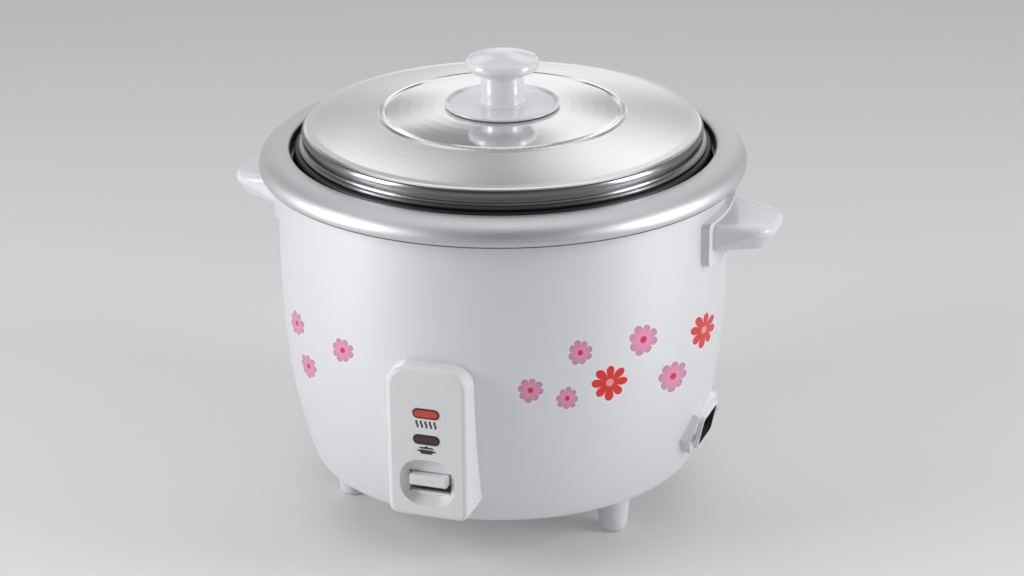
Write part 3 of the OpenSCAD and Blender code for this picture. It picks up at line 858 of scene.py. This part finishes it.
def new_piece(name: str, mesh: bmesh.types.BMesh, smooth: bool = False) -> bpy.types.Object:
    """Turn a mesh under construction into an object in the scene.

    Args:
        name: The piece's name.
        mesh: The finished mesh, which is freed.
        smooth: Shade the faces smoothly.

    Returns:
        The new object.
    """
    bmesh.ops.recalc_face_normals(mesh, faces=mesh.faces)
    data = bpy.data.meshes.new(name)
    mesh.to_mesh(data)
    mesh.free()
    for face in data.polygons:
        face.use_smooth = smooth
    return into_scene(name, data)


def add_plate(
    mesh: bmesh.types.BMesh, outline: Sequence[tuple[float, float]], front: float, back: float
) -> None:
    """Add a thin plate that faces the front.

    Args:
        mesh: The mesh to add to.
        outline: Points in X and Z, in metres, in order.
        front: Y of the plate's front face.
        back: Y of its back face.
    """
    faces = [[mesh.verts.new((x, y, z)) for x, z in outline] for y in (front, back)]
    mesh.faces.new(faces[0])
    mesh.faces.new(list(reversed(faces[1])))
    for index in range(len(outline)):
        after = (index + 1) % len(outline)
        mesh.faces.new((faces[0][index], faces[1][index], faces[1][after], faces[0][after]))


def add_tube(
    mesh: bmesh.types.BMesh, route: Sequence[Vector], radius: float, sides: int = 10
) -> None:
    """Add a round wire along a route.

    Args:
        mesh: The mesh to add to.
        route: Points along the wire's middle, in metres.
        radius: The wire's radius in metres.
        sides: Sides of the wire's section.
    """
    rings = []
    for index, point in enumerate(route):
        ahead = route[min(index + 1, len(route) - 1)] - route[max(index - 1, 0)]
        turned = ahead.to_track_quat("Z", "Y")
        ring = []
        for side in range(sides):
            angle = 2 * math.pi * side / sides
            offset = Vector((math.cos(angle), math.sin(angle), 0)) * radius
            ring.append(mesh.verts.new(point + turned @ offset))
        rings.append(ring)
    for lower, upper in zip(rings, rings[1:]):
        for side in range(sides):
            after = (side + 1) % sides
            mesh.faces.new((lower[side], lower[after], upper[after], upper[side]))
    mesh.faces.new(list(reversed(rings[0])))
    mesh.faces.new(rings[-1])


# ------------------------------------------------------------------ sub-assemblies


def faces_out(middle: Vector, normal: Vector) -> bool:
    """Whether a face with this middle and normal looks away from the cooker's axis."""
    return normal.x * middle.x + normal.y * middle.y > 0


@dataclass(frozen=True)
class SharedFinishes:
    """Finishes that more than one sub-assembly uses."""

    white: bpy.types.Material
    plated: bpy.types.Material
    bakelite: bpy.types.Material


@dataclass
class SubAssembly:
    """A group of the cooker's nodes that is dressed together."""

    nodes: dict[str, bpy.types.Object]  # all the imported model's objects by name
    shared: SharedFinishes

    def dress(self, material: bpy.types.Material, *names: str) -> None:
        """Give nodes one material.

        Args:
            material: The finish.
            names: The nodes that take it.
        """
        for name in names:
            slots = self.nodes[name].data.materials
            slots.clear()
            slots.append(material)
            LOG.info("%s: %s", name, material.name)

    def dress_by_face(
        self,
        name: str,
        materials: Sequence[bpy.types.Material],
        choose: Callable[[Vector, Vector], int],
    ) -> None:
        """Give the faces of one node different materials.

        Args:
            name: The node.
            materials: The finishes to choose from.
            choose: Gives a finish's number from a face's middle and normal.
        """
        data = self.nodes[name].data
        data.materials.clear()
        for material in materials:
            data.materials.append(material)
        for face in data.polygons:
            face.material_index = choose(face.center, face.normal)
        LOG.info("%s: %s", name, ", ".join(material.name for material in materials))


@dataclass
class Drum(SubAssembly):
    """Enamelled drum, satin top ring, handles, feet and base."""

    # angle from the front, height over the drum's lower edge in mm, radius in mm, turn,
    # stretch, lean
    pink: tuple[tuple[float, ...], ...] = (
        (24.2, 84.3, 7.3, 0.2, 0.95, 0.0),
        (33.4, 77.6, 6.8, 0.9, 0.9, 0.04),
        (36.5, 103.4, 7.3, 0.5, 0.95, 0.05),
        (54.1, 102.9, 9.1, 0.3, 1.1, 0.1),
        (65.4, 73.6, 9.3, 0.05, 1.35, 0.18),
        (-47.7, 92.7, 7.3, 0.6, 1.5, -0.22),
        (-42.6, 71.0, 7.2, 0.1, 1.4, -0.2),
        (-26.0, 93.1, 7.2, 0.4, 1.2, -0.2),
    )
    red: tuple[tuple[float, ...], ...] = (
        (44.6, 82.7, 10.4, 0.02, 1.05, 0.08),
        (79.0, 90.7, 10.4, 0.15, 1.55, 0.2),
    )
    low_edge: float = 0.0266
    facing_down: float = 0.3

    def daisies(self) -> tuple[Daisy, ...]:
        """The print, which comes round a second time on the back of the drum.

        Returns:
            The daisies of both sides.
        """
        return tuple(
            Daisy(kind, angle + half_turn, self.low_edge + height * MM, radius * MM, *shape)
            for kind, rows in ((DaisyKind.PINK, self.pink), (DaisyKind.RED, self.red))
            for angle, height, radius, *shape in rows
            for half_turn in (0.0, 180.0)
        )

    def build(self) -> None:
        """Dress the drum."""
        self.dress(Enamel("drum_enamel", daisies=self.daisies()).build(), "outer_shell")
        ring_lines = (0.0004, 0.000002, 0.05)
        ring = SpunMetal("ring_satin", (0.70, 0.71, 0.725), 0.44, *ring_lines, stretch=0.1)
        # the ring's own satin metal, darkened as painted shade on its lower edge and inner wall
        edge = SpunMetal("ring_edge", (0.16, 0.16, 0.17), 0.45, *ring_lines, stretch=0.0)

        def choose(middle: Vector, normal: Vector) -> int:
            """Painted shade where the ring turns in over the drum, and down its inner wall."""
            outwards = faces_out(middle, normal)
            return int(normal.z < (-self.facing_down if outwards else self.facing_down))

        self.dress_by_face("top_rim", [ring.build(), edge.build()], choose)
        white, plated = self.shared.white, self.shared.plated
        self.dress(white, "left_handle", "right_handle", "foot_left", "foot_right", "foot_rear")
        self.dress(plated, "base_plate", "base_screws", "foot_screws", "handle_screws")
        well = SpunMetal("well_aluminium", (0.60, 0.61, 0.62), 0.34, 0.0012, 0.00001, 0.12)
        self.dress(well.build(), "inner_casing")


@dataclass
class Lid(SubAssembly):
    """Stainless lid with its knob and the guard disc."""

    ridge: float = 0.0672
    shoulder: float = 0.10965
    underside: float = 0.109
    facing_down: float = -0.05

    def build(self) -> None:
        """Dress the lid."""
        # colour, roughness, then the lines' spacing, depth and contrast, stretch and smears
        finishes = (
            SpunMetal("lid_mirror", (0.88, 0.885, 0.89), 0.08, 0.0006, 0.000001, 0.03, 0.3, 0.05),
            SpunMetal("lid_satin", (0.86, 0.86, 0.86), 0.2, 0.0005, 0.000002, 0.04, 0.3, 0.04),
            # the band round the edge is the lid's own steel, darkened as painted shade
            SpunMetal("lid_band", (0.30, 0.30, 0.31), 0.18, 0.0006, 0.000002, 0.04, 0.2, 0.06),
            SpunMetal("lid_inside", (0.62, 0.625, 0.63), 0.3, 0.0007, 0.000004, 0.1),
        )
        mirror, satin, band, inside = range(len(finishes))

        def choose(middle: Vector, normal: Vector) -> int:
            """Pick the finish by the distance from the axis.

            Args:
                middle: The face's middle.
                normal: The face's normal.

            Returns:
                The finish's number.
            """
            radius = math.hypot(middle.x, middle.y)
            if normal.z < self.facing_down and radius < self.underside:
                return inside
            if radius < self.ridge:
                return mirror
            outside = normal.z > 0 or faces_out(middle, normal)
            return band if outside and radius >= self.shoulder else satin

        self.dress_by_face("lid", [finish.build() for finish in finishes], choose)
        self.dress(self.shared.white, "knob")
        guard = Plastic("guard_plastic", (0.74, 0.75, 0.79), 0.22, 0.5, see_into=0.1)
        self.dress(guard.build(), "knob_disc")
        self.dress(self.shared.plated, "knob_screw")


@dataclass
class Pan(SubAssembly):
    """Inner pan, near-black as painted shade in the gap round the lid."""

    def build(self) -> None:
        """Dress the pan."""
        # near-black stands in for the shade in the gap between the lid and the ring
        pan_shade = SpunMetal(
            "pan_anodised", (0.05, 0.05, 0.053), 0.36, 0.0008, 0.000006, 0.12, stretch=0.2
        )
        self.dress(pan_shade.build(), "inner_pan")


@dataclass
class ControlPanel(SubAssembly):
    """Front panel with its lenses, key, lamps and the two small marks."""

    face_y: float = -0.1346
    print_depth: float = 0.00005
    warm_height: float = 0.0998
    cook_height: float = 0.0847
    mark_drop: float = 0.0062  # from a lens's middle down to its mark's
    wave_pitch: float = 0.0025
    wave_height: float = 0.0038
    wave_sway: float = 0.0004
    wave_width: float = 0.00105

    def plate(
        self, mesh: bmesh.types.BMesh, outline: Sequence[tuple[float, float]], middle: float = 0.0
    ) -> None:
        """Print a flat shape, whose heights count from the given middle."""
        raised = [(x, middle + z) for x, z in outline]
        add_plate(mesh, raised, self.face_y - self.print_depth, self.face_y + self.print_depth)

    def stroke(
        self, mesh: bmesh.types.BMesh, points: Sequence[tuple[float, float]], width: float
    ) -> None:
        """Print a line of even width.

        Args:
            mesh: The mesh to add to.
            points: Points along the line in X and Z.
            width: Its width in metres.
        """
        left, right = [], []
        for index, (x, z) in enumerate(points):
            x0, z0 = points[max(index - 1, 0)]
            x1, z1 = points[min(index + 1, len(points) - 1)]
            length = math.hypot(x1 - x0, z1 - z0)
            across = (-(z1 - z0) / length * width / 2, (x1 - x0) / length * width / 2)
            left.append((x + across[0], z + across[1]))
            right.append((x - across[0], z - across[1]))
        self.plate(mesh, left + right[::-1])

    def warm_mark(self) -> bpy.types.Object:
        """Five rising waves that stand for keeping warm.

        Returns:
            The printed mark.
        """
        mesh = bmesh.new()
        middle = self.warm_height - self.mark_drop
        steps = 12
        for column in range(-2, 3):
            points = []
            for share in (step / steps for step in range(steps + 1)):
                sway = self.wave_sway * math.sin(2 * math.pi * share)
                rise = (share - 0.5) * self.wave_height
                points.append((column * self.wave_pitch + sway, middle + rise))
            self.stroke(mesh, points, self.wave_width)
        return new_piece("warm_mark", mesh)

    def cook_mark(self) -> bpy.types.Object:
        """A small pot that stands for cooking.

        Returns:
            The printed mark.
        """
        mesh = bmesh.new()
        middle = self.cook_height - self.mark_drop
        body = ((-0.0035, 0.0004), (-0.0035, -0.0014), (-0.0027, -0.0021))
        cover = ((-0.0041, 0.0009), (-0.0041, 0.0013), (-0.0028, 0.0019))
        knob = ((-0.0008, 0.0019), (-0.0008, 0.0025))
        for half in (body, cover + knob):
            self.plate(mesh, [*half, *((-x, z) for x, z in reversed(half))], middle)
        handle_height, handle_width = middle - 0.0004, 0.0009
        for side in (-1, 1):
            ends = [(side * reach, handle_height) for reach in (0.0034, 0.0051)]
            self.stroke(mesh, ends, handle_width)
        return new_piece("cook_mark", mesh)

    def build(self) -> None:
        """Dress the panel and print its marks."""
        # paler than the shared white plastic, as painted light on the front-facing panel and key
        face = Plastic("panel_white", (0.86, 0.862, 0.878), 0.26, 0.5)
        self.dress(face.build(), "control_panel", "cook_key")
        self.dress(self.shared.plated, "panel_screws")
        # the second colour of each lens is the painted shade round its rim
        amber = LensPlastic("amber_lens", srgb(220, 78, 40), srgb(44, 10, 12), self.warm_height)
        dark = LensPlastic("dark_lens", srgb(74, 36, 46), srgb(18, 6, 10), self.cook_height)
        self.dress(amber.build(), "warm_lens")
        self.dress(dark.build(), "cook_lens")
        glass = ClearGlass("lamp_glass", (0.9, 0.78, 0.66))
        self.dress(glass.build(), "warm_lamp", "cook_lamp")
        ink = PrintInk("mark_ink").build()
        for mark in (self.warm_mark(), self.cook_mark()):
            mark.data.materials.append(ink)
            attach(mark, "casing")
            LOG.info("%s: printed", mark.name)


@dataclass
class Heater(SubAssembly):
    """Heating plate with its element, thermostat, fuse and the sensor in its middle."""

    def build(self) -> None:
        """Dress the heater."""
        cast = SpunMetal("cast_aluminium", (0.66, 0.67, 0.68), 0.34, 0.0009, 0.00002, 0.14)
        self.dress(cast.build(), "heating_plate")
        oxide = PlainMetal("element_oxide", (0.17, 0.165, 0.17), 0.5, 0.2, 300.0, metallic=0.8)
        self.dress(oxide.build(), "heating_element", "magnet_rod")
        drawn = SpunMetal("sensor_aluminium", (0.74, 0.75, 0.76), 0.24, 0.0005, 0.000005, 0.08)
        self.dress(drawn.build(), "sensor_cap")
        ferrite = PlainMetal("ferrite", (0.09, 0.09, 0.095), 0.55, 0.2, 900.0, 0.00003, 0.4)
        self.dress(ferrite.build(), "sensor_magnet")
        ceramic = Plastic("ceramic", (0.80, 0.77, 0.70), 0.35, 0.3, 0.00002)
        self.dress(ceramic.build(), "thermal_fuse")
        self.dress(self.shared.bakelite, "warm_thermostat")
        self.dress(self.shared.plated, "plate_spacers", "plate_screws", "fuse_clip")
        self.dress(self.shared.plated, "sensor_holder", "holder_screws")


@dataclass
class Spring:
    """A coil spring between two levels."""

    name: str
    middle: tuple[float, float]
    low: float
    high: float
    coil_radius: float
    wire_radius: float
    turns: float
    steps_per_turn: int = 20
    closed: float = 0.12  # share of the wire in the closed turn at each end
    closed_rise: float = 0.3  # how fast it climbs there, against the spring's mean

    def build(self) -> bpy.types.Object:
        """Wind the spring, with its first and last turns closed.

        Returns:
            The spring.
        """
        mesh = bmesh.new()
        steps = int(self.turns * self.steps_per_turn)
        travel = self.high - self.low - 2 * self.wire_radius
        end_rise = self.closed * self.closed_rise
        route = []
        for step in range(steps + 1):
            share = step / steps
            if share < self.closed:
                rise = share * self.closed_rise
            elif share > 1 - self.closed:
                rise = 1 - (1 - share) * self.closed_rise
            else:
                pitch = (1 - 2 * end_rise) / (1 - 2 * self.closed)
                rise = end_rise + (share - self.closed) * pitch
            angle = 2 * math.pi * step / self.steps_per_turn
            x = self.middle[0] + self.coil_radius * math.cos(angle)
            y = self.middle[1] + self.coil_radius * math.sin(angle)
            route.append(Vector((x, y, self.low + self.wire_radius + travel * rise)))
        add_tube(mesh, route, self.wire_radius)
        return new_piece(self.name, mesh, smooth=True)


@dataclass
class Switch(SubAssembly):
    """Magnetic switch: lever, bracket, snap switch and the two springs."""

    arm: float = 0.025  # from the lever's pin to the return spring
    lift_degrees: float = 4.2
    cap_travel: float = 0.002
    return_coil: float = 0.0026
    wire: float = 0.0004
    turns: float = 5.0

    def springs(self) -> None:
        """Wind both springs over the CAD ones, hide those, and attach each coil to its body."""
        steel = PlainMetal("spring_steel", (0.60, 0.61, 0.63), 0.26, 0.08, 700.0).build()
        for name, body, joint, grip_low in (
            ("return_spring", "lever", "cook_lever", True),
            ("sensor_spring", "sensor", "sensor_press", False),
        ):
            low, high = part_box(name)
            middle = ((low.x + high.x) / 2, (low.y + high.y) / 2)
            radius = self.return_coil if grip_low else (high.x - low.x) / 2 - self.wire
            spring = Spring(
                f"{name}_coil", middle, low.z, high.z, radius, self.wire, self.turns
            ).build()
            spring.data.materials.append(steel)
            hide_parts(name)
            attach(spring, body)
            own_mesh(spring)

    def build(self) -> None:
        """Dress the switch."""
        self.dress(self.shared.bakelite, "switch_lever", "contact_block")
        self.dress(self.shared.plated, "switch_bracket", "bracket_screws", "lever_pin")
        self.dress(self.shared.plated, "contact_screws")
        red = Plastic("plunger_plastic", (0.62, 0.10, 0.08), 0.38, 0.1)
        self.dress(red.build(), "contact_plunger")
        self.springs()


@dataclass
class Electrics(SubAssembly):
    """Mains inlet and the wires inside the base."""

    mouth_middle: float = 0.0526  # height over the floor
    mouth_half: tuple[float, float] = (0.0126, 0.0086)  # half its width and height
    frame_from: float = 0.1195  # the mouth's frame stands further out than this
    facing_out: float = 0.55

    def build(self) -> None:
        """Dress the inlet and the wires."""
        # near-black inside the mouth, as painted shade in the recess
        mouth = Plastic("inlet_dark", (0.035, 0.035, 0.04), 0.4, 0.15)
        low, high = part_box("inlet_socket")

        def choose(middle: Vector, normal: Vector) -> int:
            """Painted shade inside the mouth, white outside.

            Args:
                middle: The face's middle.
                normal: The face's normal.

            Returns:
                The finish's number.
            """
            aside = abs(middle.y - (low.y + high.y) / 2) < self.mouth_half[0]
            inside = aside and abs(middle.z - self.mouth_middle) < self.mouth_half[1]
            framed = normal.x > self.facing_out and middle.x > self.frame_from
            return int(inside and not framed)

        self.dress_by_face("inlet_socket", [self.shared.white, mouth.build()], choose)
        brass = PlainMetal("brass", (0.76, 0.60, 0.30), 0.28, 0.1, 400.0)
        self.dress(brass.build(), "inlet_pins", "earth_screw")
        self.dress(self.shared.plated, "inlet_screws")
        for name, colour, wires in (
            ("brown_sleeve", (0.20, 0.085, 0.04), ("live_wire", "switch_wire", "fuse_wire")),
            ("brown_thin_sleeve", (0.22, 0.095, 0.045), ("thermostat_wires",)),
            ("blue_sleeve", (0.05, 0.16, 0.45), ("neutral_wire",)),
            ("green_sleeve", (0.12, 0.32, 0.05), ("earth_wire",)),
            ("grey_sleeve", (0.28, 0.28, 0.30), ("lamp_wires",)),
        ):
            self.dress(Plastic(name, colour, 0.45, 0.1, 0.00003).build(), *wires)


# ------------------------------------------------------------------ studio


def heading(angle: float, rise: float = 0.0) -> tuple[float, float, float]:
    """Direction away from the cooker.

    Args:
        angle: Degrees round from the front towards the inlet's side.
        rise: Degrees over the horizon.

    Returns:
        The direction, of length 1.
    """
    turn, climb = math.radians(angle), math.radians(rise)
    level = math.cos(climb)
    return math.sin(turn) * level, -math.cos(turn) * level, math.sin(climb)


@dataclass
class Studio:
    """Pale floor, soft lamps, even surroundings and the camera."""

    azimuth: float = 18.0
    elevation: float = 22.51
    roll: float = -0.48
    distance: float = 1.5
    target: tuple[float, float, float] = (0.0, 0.0, 0.1179)
    lamp_target: tuple[float, float, float] = (0.0, 0.0, 0.14)
    lens: float = 93.16
    sensor_width: float = 36.0
    shift_x: float = 8 / 1024
    clip_start: float = 0.05
    floor_colour: Colour = (0.62, 0.622, 0.63)
    floor_half: float = 6.0
    floor_glow: float = 0.18
    floor_grain: float = 60.0
    floor_tone: float = 0.985
    bright: Colour = (1.04, 1.04, 1.04)  # the room low down
    dim: Colour = (0.34, 0.345, 0.36)  # the room overhead
    # parts of a direction of length 1, between which the room changes smoothly
    dim_up: tuple[float, float] = (0.42, 0.60)  # upwards, from bright to dim
    dim_tilt: float = 0.07  # how much higher that is on the right than in the middle
    dim_right: tuple[float, float] = (-0.25, 0.25)  # sideways, over which it climbs so
    front: tuple[float, float] = (-0.2, 0.6)  # forwards, from full light to front_level
    front_level: float = 0.35
    side: tuple[float, float] = (0.3, 0.6)  # sideways, from no loss to side_loss
    side_back: tuple[float, float] = (-0.2, 0.05)  # forwards, where that loss ends
    side_loss: float = 0.55
    patch_core: float = 0.35  # share of a patch's width that is even
    # name, degrees round from the camera, height and distance in metres, size, watts
    lamps: tuple[tuple[str, float, float, float, tuple[float, float], float], ...] = (
        ("left_softbox", -74.0, 0.55, 1.15, (0.50, 0.72), 8.6),
        ("right_softbox", 74.0, 0.55, 1.15, (0.42, 0.72), 7.2),
        ("top_softbox", 180.0, 1.35, 0.26, (2.10, 0.90), 4.3),
    )
    # soft patches behind the cooker: angle, rise and width in degrees, and how much they add
    windows: tuple[tuple[float, float, float, float], ...] = (
        (-13.0, 35.0, 11.0, 0.4),
        (13.0, 35.0, 11.0, 0.3),
    )
    # the same for dark patches, with how much they take away
    flags: tuple[tuple[float, float, float, float], ...] = (
        (-3.5, 30.0, 8.0, 0.6),
        (-11.0, 16.0, 9.0, 0.55),
        (11.0, 16.0, 9.0, 0.55),
        (-12.0, 0.0, 14.0, 0.4),
        (1.0, 48.0, 13.0, 0.5),
    )

    def camera(self) -> None:
        """Make the camera."""
        data = bpy.data.cameras.new("camera")
        data.lens = self.lens
        data.sensor_width = self.sensor_width
        data.shift_x = self.shift_x
        data.clip_start = self.clip_start
        made = into_scene("camera", data)
        back = Vector(heading(self.azimuth, self.elevation))
        made.location = Vector(self.target) + back * self.distance
        made.rotation_mode = "QUATERNION"
        tilt = Matrix.Rotation(math.radians(self.roll), 3, "Z").to_quaternion()
        made.rotation_quaternion = (-back).to_track_quat("-Z", "Y") @ tilt
        bpy.context.scene.camera = made

    def floor(self) -> None:
        """Lay the floor."""
        mesh = bmesh.new()
        bmesh.ops.create_grid(mesh, x_segments=8, y_segments=8, size=self.floor_half)
        made = new_piece("floor", mesh)
        material, graph, surface = new_material("floor_paint")
        _, drift = Effects.grain(graph, graph.place(), self.floor_grain)
        darker = scaled(self.floor_colour, self.floor_tone)
        path = graph.node("ShaderNodeLightPath")
        seen = graph.math("MAXIMUM", path.outputs["Is Camera Ray"], path.outputs["Is Glossy Ray"])
        seen = graph.math("MAXIMUM", seen, path.outputs["Is Transmission Ray"])
        graph.fill(
            surface,
            {
                "Base Color": graph.mix(drift, self.floor_colour, darker),
                "Roughness": 0.6,
                "Emission Color": self.floor_colour,
                "Emission Strength": graph.math("MULTIPLY", seen, self.floor_glow),
            },
        )
        made.data.materials.append(material)

    def lamp(
        self,
        name: str,
        angle: float,
        height: float,
        distance: float,
        size: tuple[float, float],
        power: float,
    ) -> None:
        """Hang one soft lamp that faces the cooker.

        Args:
            name: The lamp's name.
            angle: Degrees round from the camera, positive to its right.
            height: Height over the floor in metres.
            distance: Distance from the cooker's axis in metres.
            size: Width and height in metres.
            power: Its power in watts.
        """
        data = bpy.data.lights.new(name, "AREA")
        data.shape = "RECTANGLE"
        data.size, data.size_y = size
        data.energy = power
        made = into_scene(name, data)
        east, north, _ = heading(self.azimuth + angle)
        made.location = (east * distance, north * distance, height)
        aim = Vector(self.lamp_target) - made.location
        made.rotation_mode = "QUATERNION"
        made.rotation_quaternion = aim.to_track_quat("-Z", "Y")

    def patch(
        self, graph: Graph, parts: tuple[Socket, ...], angle: float, rise: float, width: float
    ) -> Socket:
        """A soft round patch of the room behind the cooker.

        Args:
            graph: The world's graph.
            parts: X, Y and Z of the direction that is looked in.
            angle: Degrees round from straight behind, positive to the right.
            rise: Degrees over the horizon.
            width: Degrees from its middle to its edge.

        Returns:
            1 in the middle of the patch, falling to 0 at its edge.
        """
        middle = heading(self.azimuth + 180.0 - angle, rise)
        near = graph.math("MULTIPLY", parts[0], middle[0])
        for looked, part in zip(parts[1:], middle[1:]):
            near = graph.math("MULTIPLY_ADD", looked, part, near)
        edge, core = (math.cos(math.radians(share * width)) for share in (1.0, self.patch_core))
        return graph.spread(near, edge, core, 0.0, 1.0)

    def surroundings(self) -> None:
        """Light the room softly, brighter near the horizon and behind the cooker."""
        world = bpy.data.worlds.new("room")
        bpy.context.scene.world = world
        world.use_nodes = True
        graph = Graph(world.node_tree)
        parts = graph.parts(graph.node("ShaderNodeTexCoord").outputs["Generated"])
        east, north, up = parts
        turn = math.radians(self.azimuth)
        ahead = graph.weigh("SUBTRACT", (east, math.sin(turn)), (north, math.cos(turn)))
        right = graph.weigh("ADD", (east, math.cos(turn)), (north, math.sin(turn)))

        def times(level: Socket, mask: Socket, gain: float) -> Socket:
            """The level, raised by a share where the mask is 1."""
            return graph.math("MULTIPLY", level, graph.math("MULTIPLY_ADD", mask, gain, 1.0))

        tilt = graph.spread(right, *self.dim_right, -self.dim_tilt, self.dim_tilt)
        ceiling = graph.spread(graph.math("SUBTRACT", up, tilt), *self.dim_up, 0.0, 1.0)
        level = graph.spread(ahead, *self.front, 1.0, self.front_level)
        aside = graph.spread(graph.math("ABSOLUTE", right), *self.side, 0.0, 1.0)
        behind = graph.spread(ahead, *self.side_back, 1.0, 0.0)
        level = times(level, graph.math("MULTIPLY", aside, behind), -self.side_loss)
        for angle, rise, width, gain in self.windows:
            lit = self.patch(graph, parts, angle, rise, width)
            ceiling = graph.math("MULTIPLY", ceiling, graph.math("SUBTRACT", 1.0, lit))
            level = times(level, lit, gain)
        for angle, rise, width, depth in self.flags:
            level = times(level, self.patch(graph, parts, angle, rise, width), -depth)
        background = world.node_tree.nodes["Background"]
        shade = graph.mix(ceiling, self.bright, self.dim)
        graph.fill(background, {"Color": shade, "Strength": level})

    def build(self) -> None:
        """Make the whole studio."""
        self.floor()
        for lamp in self.lamps:
            self.lamp(*lamp)
        self.surroundings()
        bpy.context.scene.view_settings.view_transform = "Standard"
        LOG.info("studio: floor, %d softboxes and a pale room", len(self.lamps))


def main() -> None:
    """Load the frame, dress every sub-assembly and set up the studio."""
    logging.basicConfig(level=logging.INFO, format="%(name)s: %(message)s")
    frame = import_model()
    studio = Studio()
    studio.camera()
    shared = SharedFinishes(
        white=Plastic("white_plastic", (0.80, 0.803, 0.835), 0.22, 0.65).build(),
        plated=PlainMetal("plated_steel", (0.62, 0.63, 0.64), 0.3, 0.1, 600.0).build(),
        bakelite=Plastic("bakelite", (0.055, 0.035, 0.028), 0.38, 0.2, 0.00002).build(),
    )
    for kind in (Drum, Lid, Pan, ControlPanel, Heater, Switch, Electrics):
        kind(frame["nodes"], shared).build()
    studio.build()


if __name__ == "__main__":
    main()
